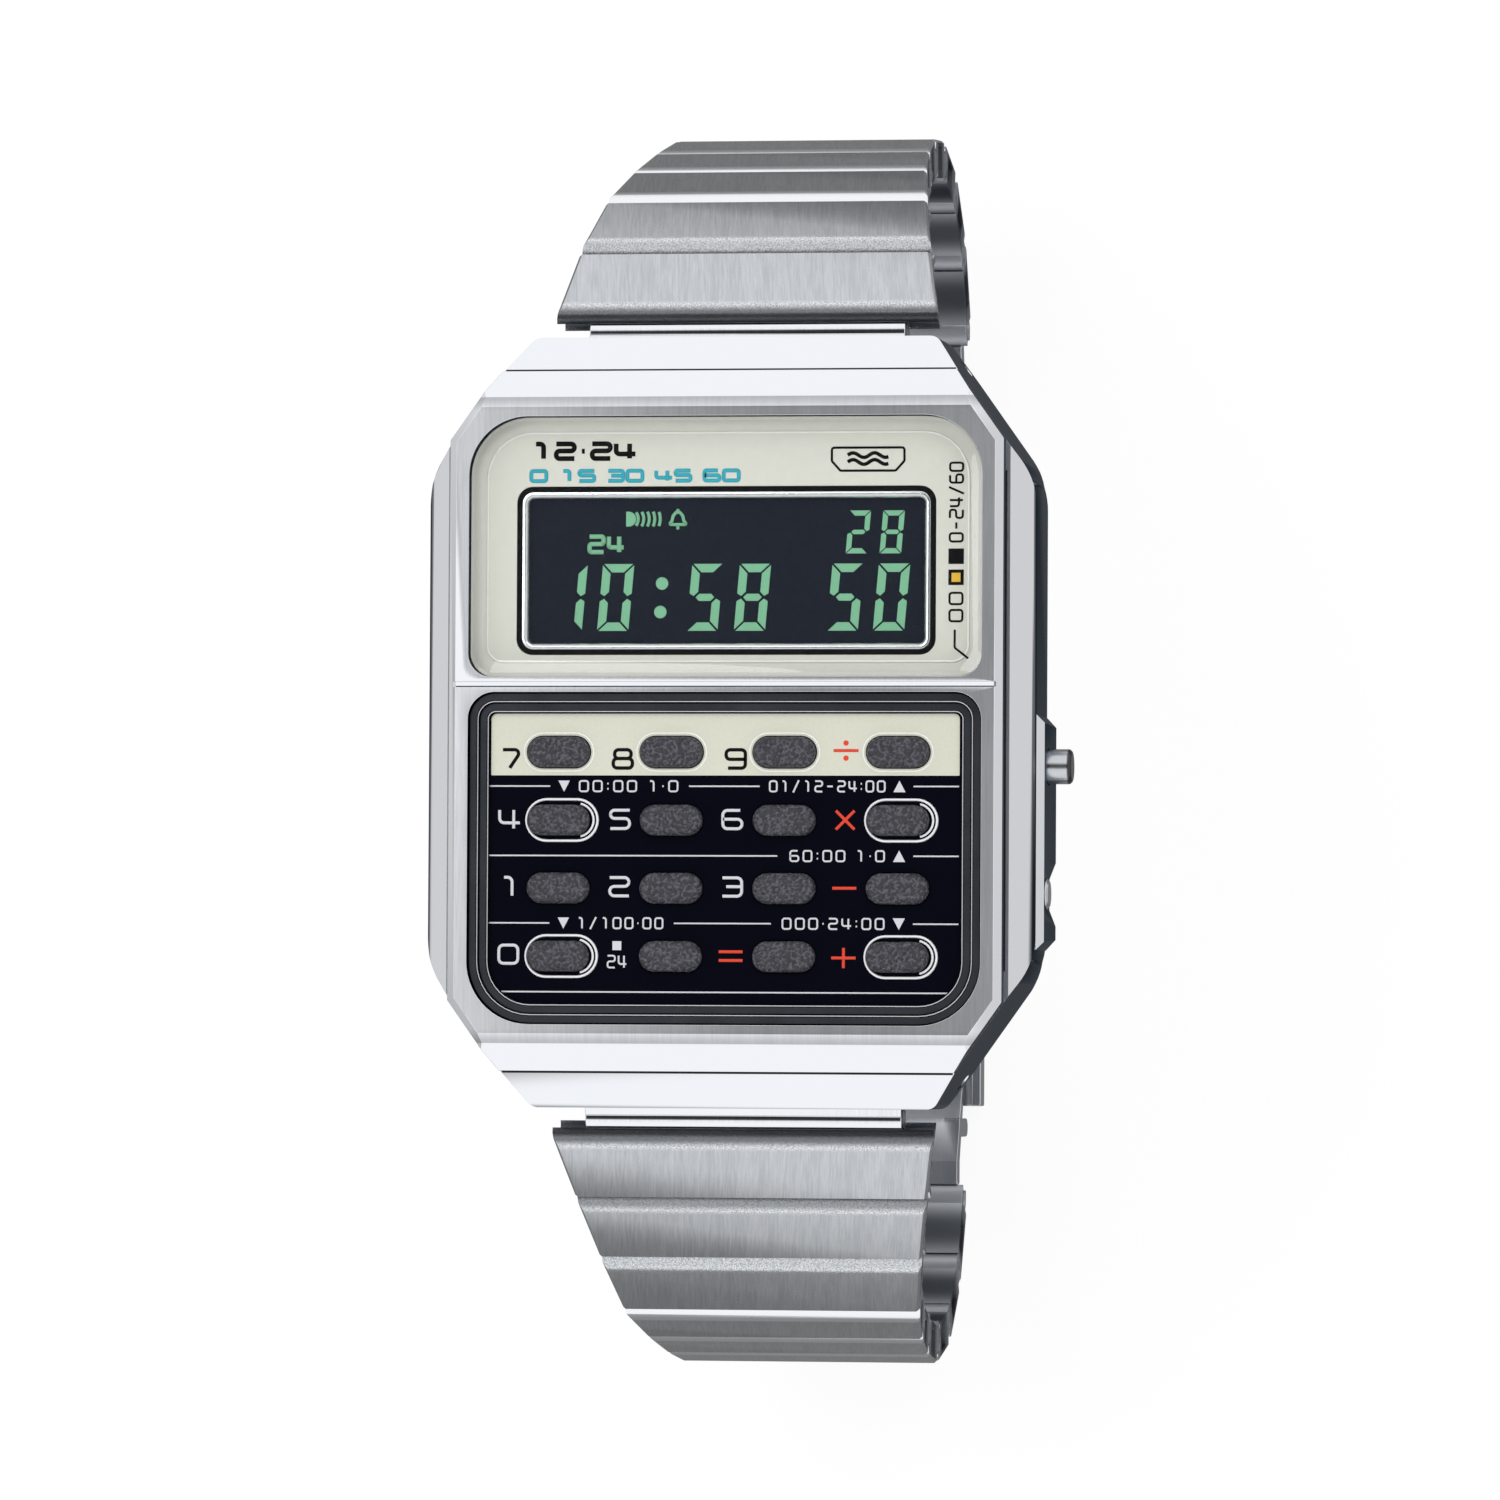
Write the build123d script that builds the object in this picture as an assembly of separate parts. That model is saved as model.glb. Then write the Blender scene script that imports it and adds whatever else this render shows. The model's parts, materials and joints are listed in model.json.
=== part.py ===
"""Calculator watch with a steel link bracelet, closed and standing on its clasp. Millimetres.

+Z points out of the dial, +Y towards twelve o'clock, +X towards three o'clock.
The pieces are drawn with the top of the bezel at height zero, and are lifted at the end so
that the flat outside of the clasp cover lies at height zero.
"""
from build123d import *
from math import asin, cos, degrees, radians, sin, sqrt
import os

# General clearances
fit = 0.05                      # pieces that seat in one another
slide_fit = 0.06                # pieces that turn or slide in one another, on the radius
cut_overrun = 1.0               # how far a cutter runs past what it cuts

# Case body, depths counted down from the top of the bezel
case_length = 43.2
case_width = 34.3
end_link_width = 18.0
lug_wall = 2.35                 # of the case outside the end link, at the case's end
corner_length = 8.2             # cut off each corner, along the case
corner_radius = 4.5
end_radius = 0.8
shoulder_depth = 1.45
facet_width = 1.12              # bright facet beside the bezel, in plan
facet_drop = 1.02
facet_edge = 0.2                # narrow steeper facet outside it, in plan
facet_edge_drop = 0.48
side_depth = 7.9
lug_depth = 10.1
lug_tip_depth = 9.3
lug_edge_depth = 3.9
lug_step_depth = 1.85
lug_heel_length = 2.2           # underside of the lug from its tip to where it turns up
lug_length = 6.7                # from its tip to the slope that runs up to the side
lug_slope_length = 1.6
case_end_width = end_link_width + 2 * lug_wall
corner_start = case_length / 2 - corner_length

# Side guard with the two pushers
guard_width = 0.55              # stands out of the side wall
guard_lean_width = 0.14         # the guard's face leans in towards its top
guard_margin = 0.72             # from the case's lower corner to the guard
guard_length = 13.08
guard_top_depth = 3.0
guard_bottom_depth = 7.7
guard_chamfer = 0.4
guard_slope = 0.6
pusher_depth = 5.0
mode_place = 10.23              # from the guard's lower end
mode_radius = 0.98
mode_length = 1.8               # stands out of the side wall
adjust_place = 3.13             # from the guard's lower end
adjust_radius = 0.85
adjust_floor = 0.2              # floor of the notch outside the side wall
adjust_length = 0.55            # stands out of the side wall
adjust_notch = 1.75
notch_slope = 0.9
pusher_travel = 0.7
pusher_bore_depth = 2.0         # of the wide bore, from the side wall inwards
stem_radius = 0.45
clip_radius = 0.8
clip_thickness = 0.3
spring_wire = 0.1               # wire radius
spring_turns = 3
pusher_edge = 0.15
guard_bottom_y = guard_margin - corner_start
guard_top_y = guard_bottom_y + guard_length
mode_y = guard_bottom_y + mode_place
adjust_y = guard_bottom_y + adjust_place

# Bezel
bezel_side_inset = 1.575        # case wall to bezel edge, at each side and at each end
bezel_end_inset = 2.05
bezel_chamfer = 0.42
bezel_slope_length = 1.55       # end slope, and the shallow crown before it
bezel_crown_length = 0.55
bezel_slope_edge = 0.12
bezel_slope_end = 1.4
bezel_rim_width = 1.15          # beside the openings
window_margin = 2.62            # from the bezel's end to the opening
window_bottom = 2.4
window_top_radius = 3.3
window_bottom_radius = 1.3
keypad_top = 1.55
keypad_margin = 2.6
keypad_top_radius = 1.5
keypad_bottom_radius = 3.5
seam_width = 0.3                # line across the bezel at the bar between the openings
seam_depth = 0.12
bezel_width = case_width - 2 * bezel_side_inset
bezel_length = case_length - 2 * bezel_end_inset
bezel_slope_start = bezel_length / 2 - bezel_slope_length
bezel_crown_start = bezel_slope_start - bezel_crown_length
opening_width = bezel_width - 2 * bezel_rim_width
window_top = bezel_length / 2 - window_margin
keypad_bottom = keypad_margin - bezel_length / 2

# Front recess and inner cavity of the case body
recess_margin = 0.175           # recess outside the openings
recess_radius = 3.6
recess_depth = 3.25
cavity_side_ledge = 1.0
cavity_end_ledge = 1.9
cavity_corner = 4.6
recess_width = opening_width + 2 * recess_margin
recess_length = 2 * (recess_margin - keypad_bottom)
cavity_width = recess_width - 2 * cavity_side_ledge
cavity_length = recess_length - 2 * cavity_end_ledge

# Crystal, dial and display
crystal_top = 0.18
crystal_bevel = 0.34
dial_thickness = 0.4
display_x = -0.07
display_side = 2.675            # dial on each side of the display frame
display_head = 3.93             # dial above the display frame
display_foot = 1.3              # dial below the display frame
frame_radius = 0.9
frame_border = 0.68
view_radius = 0.45
panel_margin = 0.6
panel_thickness = 1.2
frame_width = opening_width - 2 * display_side
frame_height = window_top - window_bottom - display_head - display_foot
display_y = window_bottom + display_foot + frame_height / 2
view_width = frame_width - 2 * frame_border
view_height = frame_height - 2 * frame_border

# Keypad
plate_top = 0.72
plate_lip = 0.35                # height of the raised rim round the plate
plate_lip_width = 0.55
plate_step_width = 0.55
plate_step = 0.16
plate_underside = 1.9
key_width = 3.53
key_height = 1.72
key_top = 0.3
key_crown = 0.3
key_clearance = 0.06
key_flange = 0.38
key_flange_thickness = 0.35
key_travel = 0.4
key_columns = 4
key_rows = 4
key_left_margin = 5.055         # from the edges of the keypad opening to the outer keys' centres
key_right_margin = 4.715
key_top_margin = 3.33
key_bottom_margin = 3.8
membrane_thickness = 0.4
membrane_gap = 0.06             # left under a key that is pressed down
membrane_margin = 0.9
key_first_x = key_left_margin - opening_width / 2
key_first_y = keypad_top - key_top_margin
key_pitch_x = (opening_width - key_left_margin - key_right_margin) / (key_columns - 1)
key_pitch_y = (key_first_y - keypad_bottom - key_bottom_margin) / (key_rows - 1)

# Movement
board_gap = 0.12
board_thickness = 0.7
board_margin = 0.45
chip_size = 5.6
chip_height = 0.7
crystal_can_length = 4.2
crystal_can_radius = 0.4
frame_floor = 7.05              # depth of the module frame's underside
battery_radius = 10.0
battery_thickness = 1.6
battery_margin = 1.8            # from the cavity's end to the battery
battery_step = 0.35
clip_width = 4.0
clip_height = 0.2
clip_foot = 1.2
buzzer_margin = 1.1             # from the cavity's end to the buzzer, and from it to the clip
buzzer_thickness = 0.22
pusher_room = 1.0
battery_y = battery_margin + battery_radius - cavity_length / 2
buzzer_radius = (cavity_length / 2 - 2 * buzzer_margin - battery_y - clip_width / 2) / 2
buzzer_y = cavity_length / 2 - buzzer_margin - buzzer_radius

# Back
back_ledge = 7.35
back_thickness = 1.05
back_ledge_width = 0.6
back_radius = 2.2
back_chamfer = 0.3
gasket_inset = 0.3
gasket_size = 0.5
gasket_squeeze = 0.04
screw_inset = 1.6
screw_radius = 0.5
screw_head_radius = 0.95
screw_head_height = 0.55
screw_length = 2.4
screw_slot = 0.3
back_width = cavity_width + 2 * back_ledge_width
back_length = cavity_length + 2 * back_ledge_width

# Spring bars and the pocket for the end link
bar_setback = 1.5               # from the lug's tip
bar_depth = 8.6
bar_radius = 0.75
bar_tip_radius = 0.45
bar_tip_inset = 0.6             # the tip stops this far inside the lug's outside
pocket_clearance = 0.15
pocket_length = 1.3
bar_y = case_length / 2 - bar_setback

# Bracelet links, in a link's own section: along the band and outwards from its hinge line
link_pitch = 5.0
link_top = 1.6
link_bottom = 0.6
link_gap = 0.3
barrel_radius = 0.5
socket_wall = 0.36
front_clearance = 0.08
neck_thickness = 0.44
nose_length = 0.16
nose_lip = 0.06
shoulder_length = 0.85
link_wall = 0.42
link_edge = 0.16
end_link_pitch = 2.1
end_link_top = 1.0
end_link_wall = 0.22
band_shoulder = 1.875           # first link wider than the end link, at each side
band_end_width = 15.2
taper_shares = (0.0, 0.26, 0.50, 0.71, 0.86, 0.96, 1.0, 1.0, 1.0, 1.0)
mouth_angle = 6                 # free play each way in a socket's mouth, in degrees
band_start_width = end_link_width + 2 * band_shoulder

# Angles of the links below the plane of the case, in degrees, from the end link outwards
angles_12 = (8, 39, 53.5, 67.5, 73, 77, 86, 105, 129, 152)
angles_6 = (8, 43.5, 47.5, 54, 74, 78.5, 83, 100, 125)
catch_angle = 165

# Clasp
catch_length = 9.3
catch_top = 0.6
clasp_setback = 0.35            # catch and base narrower than the band, at each side
catch_bar = 1.0
catch_window = 2.6
catch_window_width = 6.6
base_drop = 2.2                 # hinge line to the wrist side of the base
base_thickness = 0.8
base_ramp_start = 2.2
base_ramp_length = 5.3
base_gap = 0.4
cover_gap = 0.2
cover_thickness = 1.1
cover_overhang = 0.7            # cover wider than the band, at each side
cover_flange = 0.6
cover_flange_height = 2.0
cover_edge = 0.35
cover_corner = 2.0
cover_hinge_length = 4.2        # from the base's own hinge to the cover's pin
cover_pin_radius = 0.3
cover_flange_start = 1.3
ear_width = 1.0
ear_gap = 0.08
hook_width = 5.0
hook_thickness = 0.6
hook_depth = 0.5                # of the hook behind the catch's cross bar
hook_play = 0.85
catch_width = band_end_width - 2 * clasp_setback
cover_width = band_end_width + 2 * cover_overhang
cover_knuckle_width = catch_width - 2 * (ear_width + ear_gap)

# Names of the keys, row by row from the upper left
key_names = ("7", "8", "9", "divide", "4", "5", "6", "multiply",
             "1", "2", "3", "minus", "0", "point", "equals", "plus")


def slab(low, high):
    """Block between two corners."""
    size = [b - a for a, b in zip(low, high)]
    middle = [(a + b) / 2 for a, b in zip(low, high)]
    return Pos(*middle) * Box(*size)


def along_x(points, half_width):
    """Prism with a section given in Y and Z, both ways from the middle."""
    section = Plane.YZ * make_face(Polyline(*points, close=True))
    return extrude(section, amount=half_width, both=True)


def along_y(points, half_length):
    """Prism with a section given in X and Z, both ways from the middle."""
    section = Plane.XZ * make_face(Polyline(*points, close=True))
    return extrude(section, amount=half_length, both=True)


def along_z(sketch, low, high):
    """Prism with a plan, between two heights."""
    return extrude(Plane.XY.offset(low) * sketch, amount=high - low)


def window_plan(width, top, bottom, top_radius, bottom_radius):
    """Rectangle with its own radius at the upper and at the lower corners."""
    plan = Pos(0, (top + bottom) / 2) * Rectangle(width, top - bottom)
    plan = fillet(plan.vertices().group_by(Axis.Y)[-1], top_radius)
    return fillet(plan.vertices().group_by(Axis.Y)[0], bottom_radius)


def rounded_plan(width, height, radius):
    """Rectangle with rounded corners about the middle."""
    return RectangleRounded(width, height, radius)


def clipped_plan(width, height, corner):
    """Rectangle with its corners cut off."""
    plan = Rectangle(width, height)
    return chamfer(plan.vertices(), corner)


# Case and bezel

def case_plan():
    side, end, top = case_width / 2, case_end_width / 2, case_length / 2
    points = [(side, -corner_start), (side, corner_start), (end, top), (-end, top),
              (-side, corner_start), (-side, -corner_start), (-end, -top), (end, -top)]
    plan = make_face(Polyline(*points, close=True))
    corners = plan.vertices().sort_by(Axis.X)
    plan = fillet(corners[:2] + corners[-2:], corner_radius)
    tips = plan.vertices().group_by(Axis.Y)
    return fillet(tips[0] + tips[-1], end_radius)


def case_side_section():
    half = case_length / 2
    step = bezel_length / 2
    side = [(step, -shoulder_depth), (step, -lug_step_depth), (half, -lug_edge_depth),
            (half, -lug_tip_depth), (half - lug_heel_length, -lug_depth),
            (half - lug_length, -lug_depth), (half - lug_length - lug_slope_length, -side_depth)]
    return side + [(-y, z) for y, z in reversed(side)]


def side_wedge(side):
    """Cutter for the sloping facet beside the bezel and the steeper one outside it."""
    wall, knee = case_width / 2, shoulder_depth + facet_drop
    inner = wall - facet_edge - facet_width
    points = [(inner, -shoulder_depth), (wall - facet_edge, -knee),
              (wall + facet_edge, -knee - 2 * facet_edge_drop), (wall + facet_edge, 0), (inner, 0)]
    return along_y([(side * x, z) for x, z in points], case_length)


def guard():
    """Raised guard on the three o'clock side, with a sloping notch round the recessed pusher."""
    wall, face = case_width / 2, case_width / 2 + guard_width
    root = wall - guard_width
    plan = [(root, guard_top_y), (wall, guard_top_y), (face, guard_top_y - guard_slope),
            (face, guard_bottom_y + guard_slope), (wall, guard_bottom_y), (root, guard_bottom_y)]
    block = along_z(make_face(Polyline(*plan, close=True)), -guard_bottom_depth, -guard_top_depth)
    brow = face - guard_lean_width
    section = [(root, -guard_bottom_depth), (face, -guard_bottom_depth),
               (brow, -guard_top_depth - guard_chamfer), (brow - guard_chamfer, -guard_top_depth),
               (root, -guard_top_depth)]
    block &= along_y(section, case_length)
    floor, half = wall + adjust_floor, adjust_notch / 2
    notch = [(face, adjust_y + half + notch_slope), (floor, adjust_y + half),
             (floor, adjust_y - half), (face, adjust_y - half - notch_slope)]
    cut = along_z(make_face(Polyline(*notch, close=True)), -guard_bottom_depth - cut_overrun,
                  -guard_top_depth - guard_chamfer)
    return block - cut


def cylinder_x(x0, x1, y, z, radius):
    """Cylinder along X between two places."""
    return Pos((x0 + x1) / 2, y, z) * Rot(0, 90, 0) * Cylinder(radius, x1 - x0)


def bar_end_x():
    """Half width of the case at the spring bars."""
    run = (bar_y - corner_start) / (case_length / 2 - corner_start)
    return (case_width - run * (case_width - case_end_width)) / 2


def screw_places():
    x, y = back_width / 2 - screw_inset, back_length / 2 - screw_inset
    return [(sx * x, sy * y) for sx in (-1, 1) for sy in (-1, 1)]


def gasket_ring(clearance):
    inner = cavity_width + 2 * gasket_inset, cavity_length + 2 * gasket_inset
    outer = inner[0] + 2 * gasket_size, inner[1] + 2 * gasket_size
    ring = clipped_plan(outer[0], outer[1], cavity_corner)
    ring -= clipped_plan(inner[0], inner[1], cavity_corner)
    return along_z(ring, -back_ledge, -back_ledge + gasket_size - clearance)


def case_body():
    body = along_z(case_plan(), -lug_depth, -shoulder_depth)
    body &= along_x(case_side_section(), case_width)
    for side in (-1, 1):
        body -= side_wedge(side)
    body += guard()
    body -= along_z(rounded_plan(recess_width, recess_length, recess_radius),
                    -recess_depth, cut_overrun)
    body -= along_z(clipped_plan(cavity_width, cavity_length, cavity_corner),
                    -lug_depth - cut_overrun, -shoulder_depth)
    body -= along_z(rounded_plan(back_width + 2 * fit, back_length + 2 * fit, back_radius),
                    -lug_depth - cut_overrun, -back_ledge)
    body -= gasket_ring(0)
    for x, y in screw_places():
        hole = Pos(x, y, -back_ledge + screw_length / 2) * Cylinder(screw_radius + fit, screw_length)
        body -= hole
    wall = case_width / 2
    for y, radius in ((mode_y, mode_radius), (adjust_y, adjust_radius)):
        body -= cylinder_x(wall - pusher_bore_depth, wall + guard_width, y, -pusher_depth,
                           radius + slide_fit)
        body -= cylinder_x(0, wall, y, -pusher_depth, stem_radius + slide_fit)
    reach = end_link_width / 2 + pocket_clearance
    for side in (-1, 1):
        low = (-reach, side * (bar_y - pocket_length), -lug_depth - cut_overrun)
        high = (reach, side * (case_length / 2 + cut_overrun), -bar_depth + pocket_length)
        ordered = [sorted(pair) for pair in zip(low, high)]
        body -= slab([p[0] for p in ordered], [p[1] for p in ordered])
        body -= cylinder_x(-case_width / 2, case_width / 2, side * bar_y, -bar_depth,
                           bar_tip_radius + fit)
    return body


def bezel():
    half_width, half_length = bezel_width / 2, bezel_length / 2
    body = along_z(case_plan(), -shoulder_depth, 0)
    body &= slab((-half_width, -half_length, -shoulder_depth), (half_width, half_length, 0))
    body = chamfer(body.faces().sort_by(Axis.Z)[-1].edges(), bezel_chamfer)
    side = [(bezel_crown_start, 0), (bezel_slope_start, -bezel_slope_edge),
            (half_length, -bezel_slope_end), (half_length, -shoulder_depth)]
    section = side + [(-y, z) for y, z in reversed(side)]
    body &= along_x(section, bezel_width)
    for plan in (window_plan(opening_width, window_top, window_bottom,
                             window_top_radius, window_bottom_radius),
                 window_plan(opening_width, keypad_top, keypad_bottom,
                             keypad_top_radius, keypad_bottom_radius)):
        body -= along_z(plan, -shoulder_depth, cut_overrun)
    bar_middle = (window_bottom + keypad_top) / 2
    groove = slab((-half_width, bar_middle - seam_width / 2, -seam_depth),
                  (half_width, bar_middle + seam_width / 2, cut_overrun))
    return body - groove


# Crystal, dial and display

def crystal():
    plan = window_plan(opening_width - 2 * fit, window_top - fit, window_bottom + fit,
                       window_top_radius, window_bottom_radius)
    body = along_z(plan, fit - shoulder_depth, -crystal_top)
    return chamfer(body.faces().sort_by(Axis.Z)[-1].edges(), crystal_bevel)


def dial():
    top = (recess_length / 2) - fit
    middle = (window_bottom + keypad_top) / 2
    plan = window_plan(recess_width - 2 * fit, top, middle + fit, recess_radius, fit)
    body = along_z(plan, -shoulder_depth - dial_thickness, -shoulder_depth)
    hole = Pos(display_x, display_y) * rounded_plan(frame_width + 2 * fit, frame_height + 2 * fit,
                                                    frame_radius)
    return body - along_z(hole, -recess_depth, cut_overrun)


def display_frame():
    plan = rounded_plan(frame_width, frame_height, frame_radius)
    plan -= rounded_plan(view_width, view_height, view_radius)
    return along_z(Pos(display_x, display_y) * plan,
                   -shoulder_depth - dial_thickness, -shoulder_depth)


def display_panel():
    """Two sheets of glass, the lower one with the contact ledge."""
    top = -shoulder_depth - dial_thickness
    upper = Pos(display_x, display_y) * Rectangle(frame_width - panel_margin,
                                                  frame_height - panel_margin)
    lower = Pos(display_x, display_y) * Rectangle(frame_width, frame_height + panel_margin)
    body = along_z(upper, top - panel_thickness / 2, top)
    return body + along_z(lower, top - panel_thickness, top - panel_thickness / 2)


# Keypad

def key_places():
    places = []
    for row in range(key_rows):
        for column in range(key_columns):
            places.append((key_first_x + column * key_pitch_x, key_first_y - row * key_pitch_y))
    return places


def keypad_plate():
    width = opening_width - 2 * fit
    top, bottom = keypad_top - fit, keypad_bottom + fit
    plan = window_plan(width, top, bottom, keypad_top_radius, keypad_bottom_radius)
    body = along_z(plan, -plate_underside, -plate_lip)
    flange = window_plan(recess_width - 2 * fit, (window_bottom + keypad_top) / 2,
                         -recess_length / 2 + fit, fit, recess_radius)
    body += along_z(flange, -plate_underside, -shoulder_depth - fit)
    lip = plate_lip_width
    step = lip + plate_step_width
    body -= along_z(window_plan(width - 2 * lip, top - lip, bottom + lip,
                                keypad_top_radius - lip, keypad_bottom_radius - lip),
                    -plate_lip - plate_step, cut_overrun)
    body -= along_z(window_plan(width - 2 * step, top - step, bottom + step,
                                keypad_top_radius - step, keypad_bottom_radius - step),
                    -plate_top, cut_overrun)
    for x, y in key_places():
        slot = Pos(x, y) * SlotOverall(key_width + 2 * key_clearance, key_height + 2 * key_clearance)
        body -= along_z(slot, -recess_depth, cut_overrun)
    return body


def key(x, y):
    """Key cap with a crowned top and the flange that holds it under the plate."""
    cap = along_z(SlotOverall(key_width, key_height), -plate_underside - fit, -key_top)
    cap = fillet(cap.faces().sort_by(Axis.Z)[-1].edges(), key_crown)
    flange = SlotOverall(key_width + 2 * key_flange, key_height + 2 * key_flange)
    top = -plate_underside - fit
    cap += along_z(flange, top - key_flange_thickness, top)
    return Pos(x, y) * cap


def membrane_top():
    return -plate_underside - fit - key_flange_thickness - key_travel - membrane_gap


def keypad_membrane():
    """Rubber sheet with a pad below each key."""
    width = cavity_width - 2 * membrane_margin
    top = keypad_top - membrane_margin
    bottom = -cavity_length / 2 + membrane_margin / 2
    sheet = window_plan(width, top, bottom, membrane_margin, keypad_bottom_radius)
    body = along_z(sheet, membrane_top() - membrane_thickness, membrane_top() - membrane_gap)
    for x, y in key_places():
        pad = Pos(x, y) * SlotOverall(key_width, key_height)
        body += along_z(pad, membrane_top() - membrane_thickness, membrane_top())
    return body


# Movement

def board_top():
    return membrane_top() - membrane_thickness - board_gap


def inner_plan(margin):
    return clipped_plan(cavity_width - 2 * margin, cavity_length - 2 * margin, cavity_corner)


def circuit_board():
    """Board with the main chip and the can of the time crystal on its underside."""
    top = board_top()
    board = along_z(inner_plan(board_margin), top - board_thickness, top)
    under = top - board_thickness
    chip_y = cavity_length / 2 - cavity_corner - chip_size / 2
    chip = Pos(0, chip_y, under - chip_height / 2) * Box(chip_size, chip_size, chip_height)
    can = cylinder_x(chip_size, chip_size + crystal_can_length, chip_y,
                     under - crystal_can_radius, crystal_can_radius)
    return Compound(children=[board, chip, can])


def pusher_rooms():
    """Space that the two pushers' inner ends need."""
    inner = cavity_width / 2 - pusher_travel - clip_thickness - pusher_room
    rooms = []
    for y in (mode_y, adjust_y):
        rooms.append(slab((inner, y - pusher_room, -pusher_depth - pusher_room),
                          (cavity_width / 2 + cut_overrun, y + pusher_room,
                           -pusher_depth + pusher_room)))
    return rooms


def module_frame():
    """Plastic carrier below the board, with the battery's bed and room for the chip."""
    top = board_top() - board_thickness
    body = along_z(inner_plan(board_margin), -frame_floor, top)
    battery_bed = -frame_floor + battery_thickness + battery_step
    body -= Pos(0, battery_y, (battery_bed - frame_floor) / 2) * Cylinder(
        battery_radius + fit, battery_bed + frame_floor)
    chip_y = cavity_length / 2 - cavity_corner - chip_size / 2
    room = chip_size + 2 * board_margin
    body -= slab((-room / 2, chip_y - room / 2, top - chip_height - board_margin),
                 (room / 2, chip_y + room / 2, top + cut_overrun))
    body -= slab((0, chip_y - board_margin, top - 2 * crystal_can_radius - fit),
                 (chip_size + crystal_can_length + board_margin, chip_y + board_margin,
                  top + cut_overrun))
    for space in pusher_rooms():
        body -= space
    return body


def battery():
    top = -frame_floor + battery_thickness + battery_step
    wide = Pos(0, battery_y, top - battery_thickness / 2 + battery_step / 2) * Cylinder(
        battery_radius, battery_thickness - battery_step)
    narrow = Pos(0, battery_y, top - battery_thickness / 2) * Cylinder(
        battery_radius - battery_step, battery_thickness)
    return wide + narrow


def battery_clip():
    """Flat strap across the battery, with a foot at each end on the frame."""
    reach = battery_radius + clip_foot
    low = -frame_floor + battery_step
    strap = slab((-reach, battery_y - clip_width / 2, -frame_floor - clip_height),
                 (reach, battery_y + clip_width / 2, -frame_floor))
    dip = slab((-battery_radius / 2, battery_y - clip_width / 4, -frame_floor),
               (battery_radius / 2, battery_y + clip_width / 4, low))
    return strap + dip


def buzzer_disc():
    top = -back_ledge + buzzer_thickness
    body = Pos(0, buzzer_y, top - buzzer_thickness / 2) * Cylinder(buzzer_radius, buzzer_thickness)
    return body


# Back

def caseback():
    body = along_z(rounded_plan(back_width, back_length, back_radius),
                   -back_ledge - back_thickness, -back_ledge)
    body = chamfer(body.faces().sort_by(Axis.Z)[0].edges(), back_chamfer)
    for x, y in screw_places():
        body -= Pos(x, y, -back_ledge - back_thickness / 2) * Cylinder(
            screw_radius + fit, 2 * back_thickness)
        body -= Pos(x, y, -back_ledge - back_thickness) * Cylinder(
            screw_head_radius + fit, 2 * screw_head_height)
    return body


def caseback_screws():
    screws = []
    for x, y in screw_places():
        under = -back_ledge - back_thickness
        head = Pos(x, y, under + screw_head_height / 2) * Cylinder(screw_head_radius,
                                                                   screw_head_height)
        for turn in (0, 90):
            head -= Pos(x, y, under) * Rot(0, 0, turn) * Box(2 * screw_radius, screw_slot,
                                                             screw_head_height)
        shank = Pos(x, y, under + screw_head_height + screw_length / 2) * Cylinder(
            screw_radius, screw_length)
        screws.append(head + shank)
    return Compound(children=screws)


def spring_bars():
    bars = []
    for side in (-1, 1):
        body = end_link_width / 2 + pocket_clearance / 2
        tip = bar_end_x() - bar_tip_inset
        bar = cylinder_x(-body, body, side * bar_y, -bar_depth, bar_radius)
        bars.append(bar + cylinder_x(-tip, tip, side * bar_y, -bar_depth, bar_tip_radius))
    return Compound(children=bars)


# Pushers

def pusher(y, radius, reach):
    """Head, stem and the clip that keeps it in the case."""
    wall = case_width / 2
    seat = wall - pusher_bore_depth
    head_inner = seat + 2 * pusher_travel
    head = cylinder_x(head_inner, wall + reach, y, -pusher_depth, radius)
    head = chamfer(head.faces().sort_by(Axis.X)[-1].edges(), pusher_edge)
    inner = cavity_width / 2 - clip_thickness - fit
    stem = cylinder_x(inner, head_inner, y, -pusher_depth, stem_radius)
    clip = cylinder_x(inner, inner + clip_thickness, y, -pusher_depth, clip_radius)
    return head + stem + clip


def pusher_spring(y, radius):
    """Coil between the bottom of the wide bore and the pusher's head."""
    start = case_width / 2 - pusher_bore_depth + spring_wire
    height = 2 * (pusher_travel - spring_wire)
    mean = (radius + stem_radius) / 2
    path = Helix(pitch=height / spring_turns, height=height, radius=mean)
    wire = Plane(origin=path @ 0, z_dir=path % 0) * Circle(spring_wire)
    coil = sweep(wire, path=path, is_frenet=True)
    return Pos(start, y, -pusher_depth) * Rot(0, 90, 0) * coil


# Bracelet

def closing_angle():
    """Angle of the last link at six o'clock that brings both halves to the same depth."""
    depth_12 = sum(sin(radians(t)) for t in angles_12[1:])
    depth_6 = sum(sin(radians(t)) for t in angles_6[1:])
    return 180 - degrees(asin(depth_12 - depth_6))


def hinge_chain(side, angles):
    """Hinge lines in Y and Z, from the spring bar to the clasp."""
    points = [(side * bar_y, -bar_depth)]
    pitches = [end_link_pitch] + [link_pitch] * (len(angles) - 1)
    for pitch, angle in zip(pitches, angles):
        y, z = points[-1]
        points.append((y + side * pitch * cos(radians(angle)), z - pitch * sin(radians(angle))))
    return points


def link_place(side, point, angle):
    """Frame at a hinge: x along the band, y out of the band, z across it."""
    along = (0, side * cos(radians(angle)), -sin(radians(angle)))
    return Plane(origin=(0, point[0], point[1]), x_dir=along, z_dir=(side, 0, 0)).location


def front_radius():
    return barrel_radius + slide_fit + socket_wall + front_clearance


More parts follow.
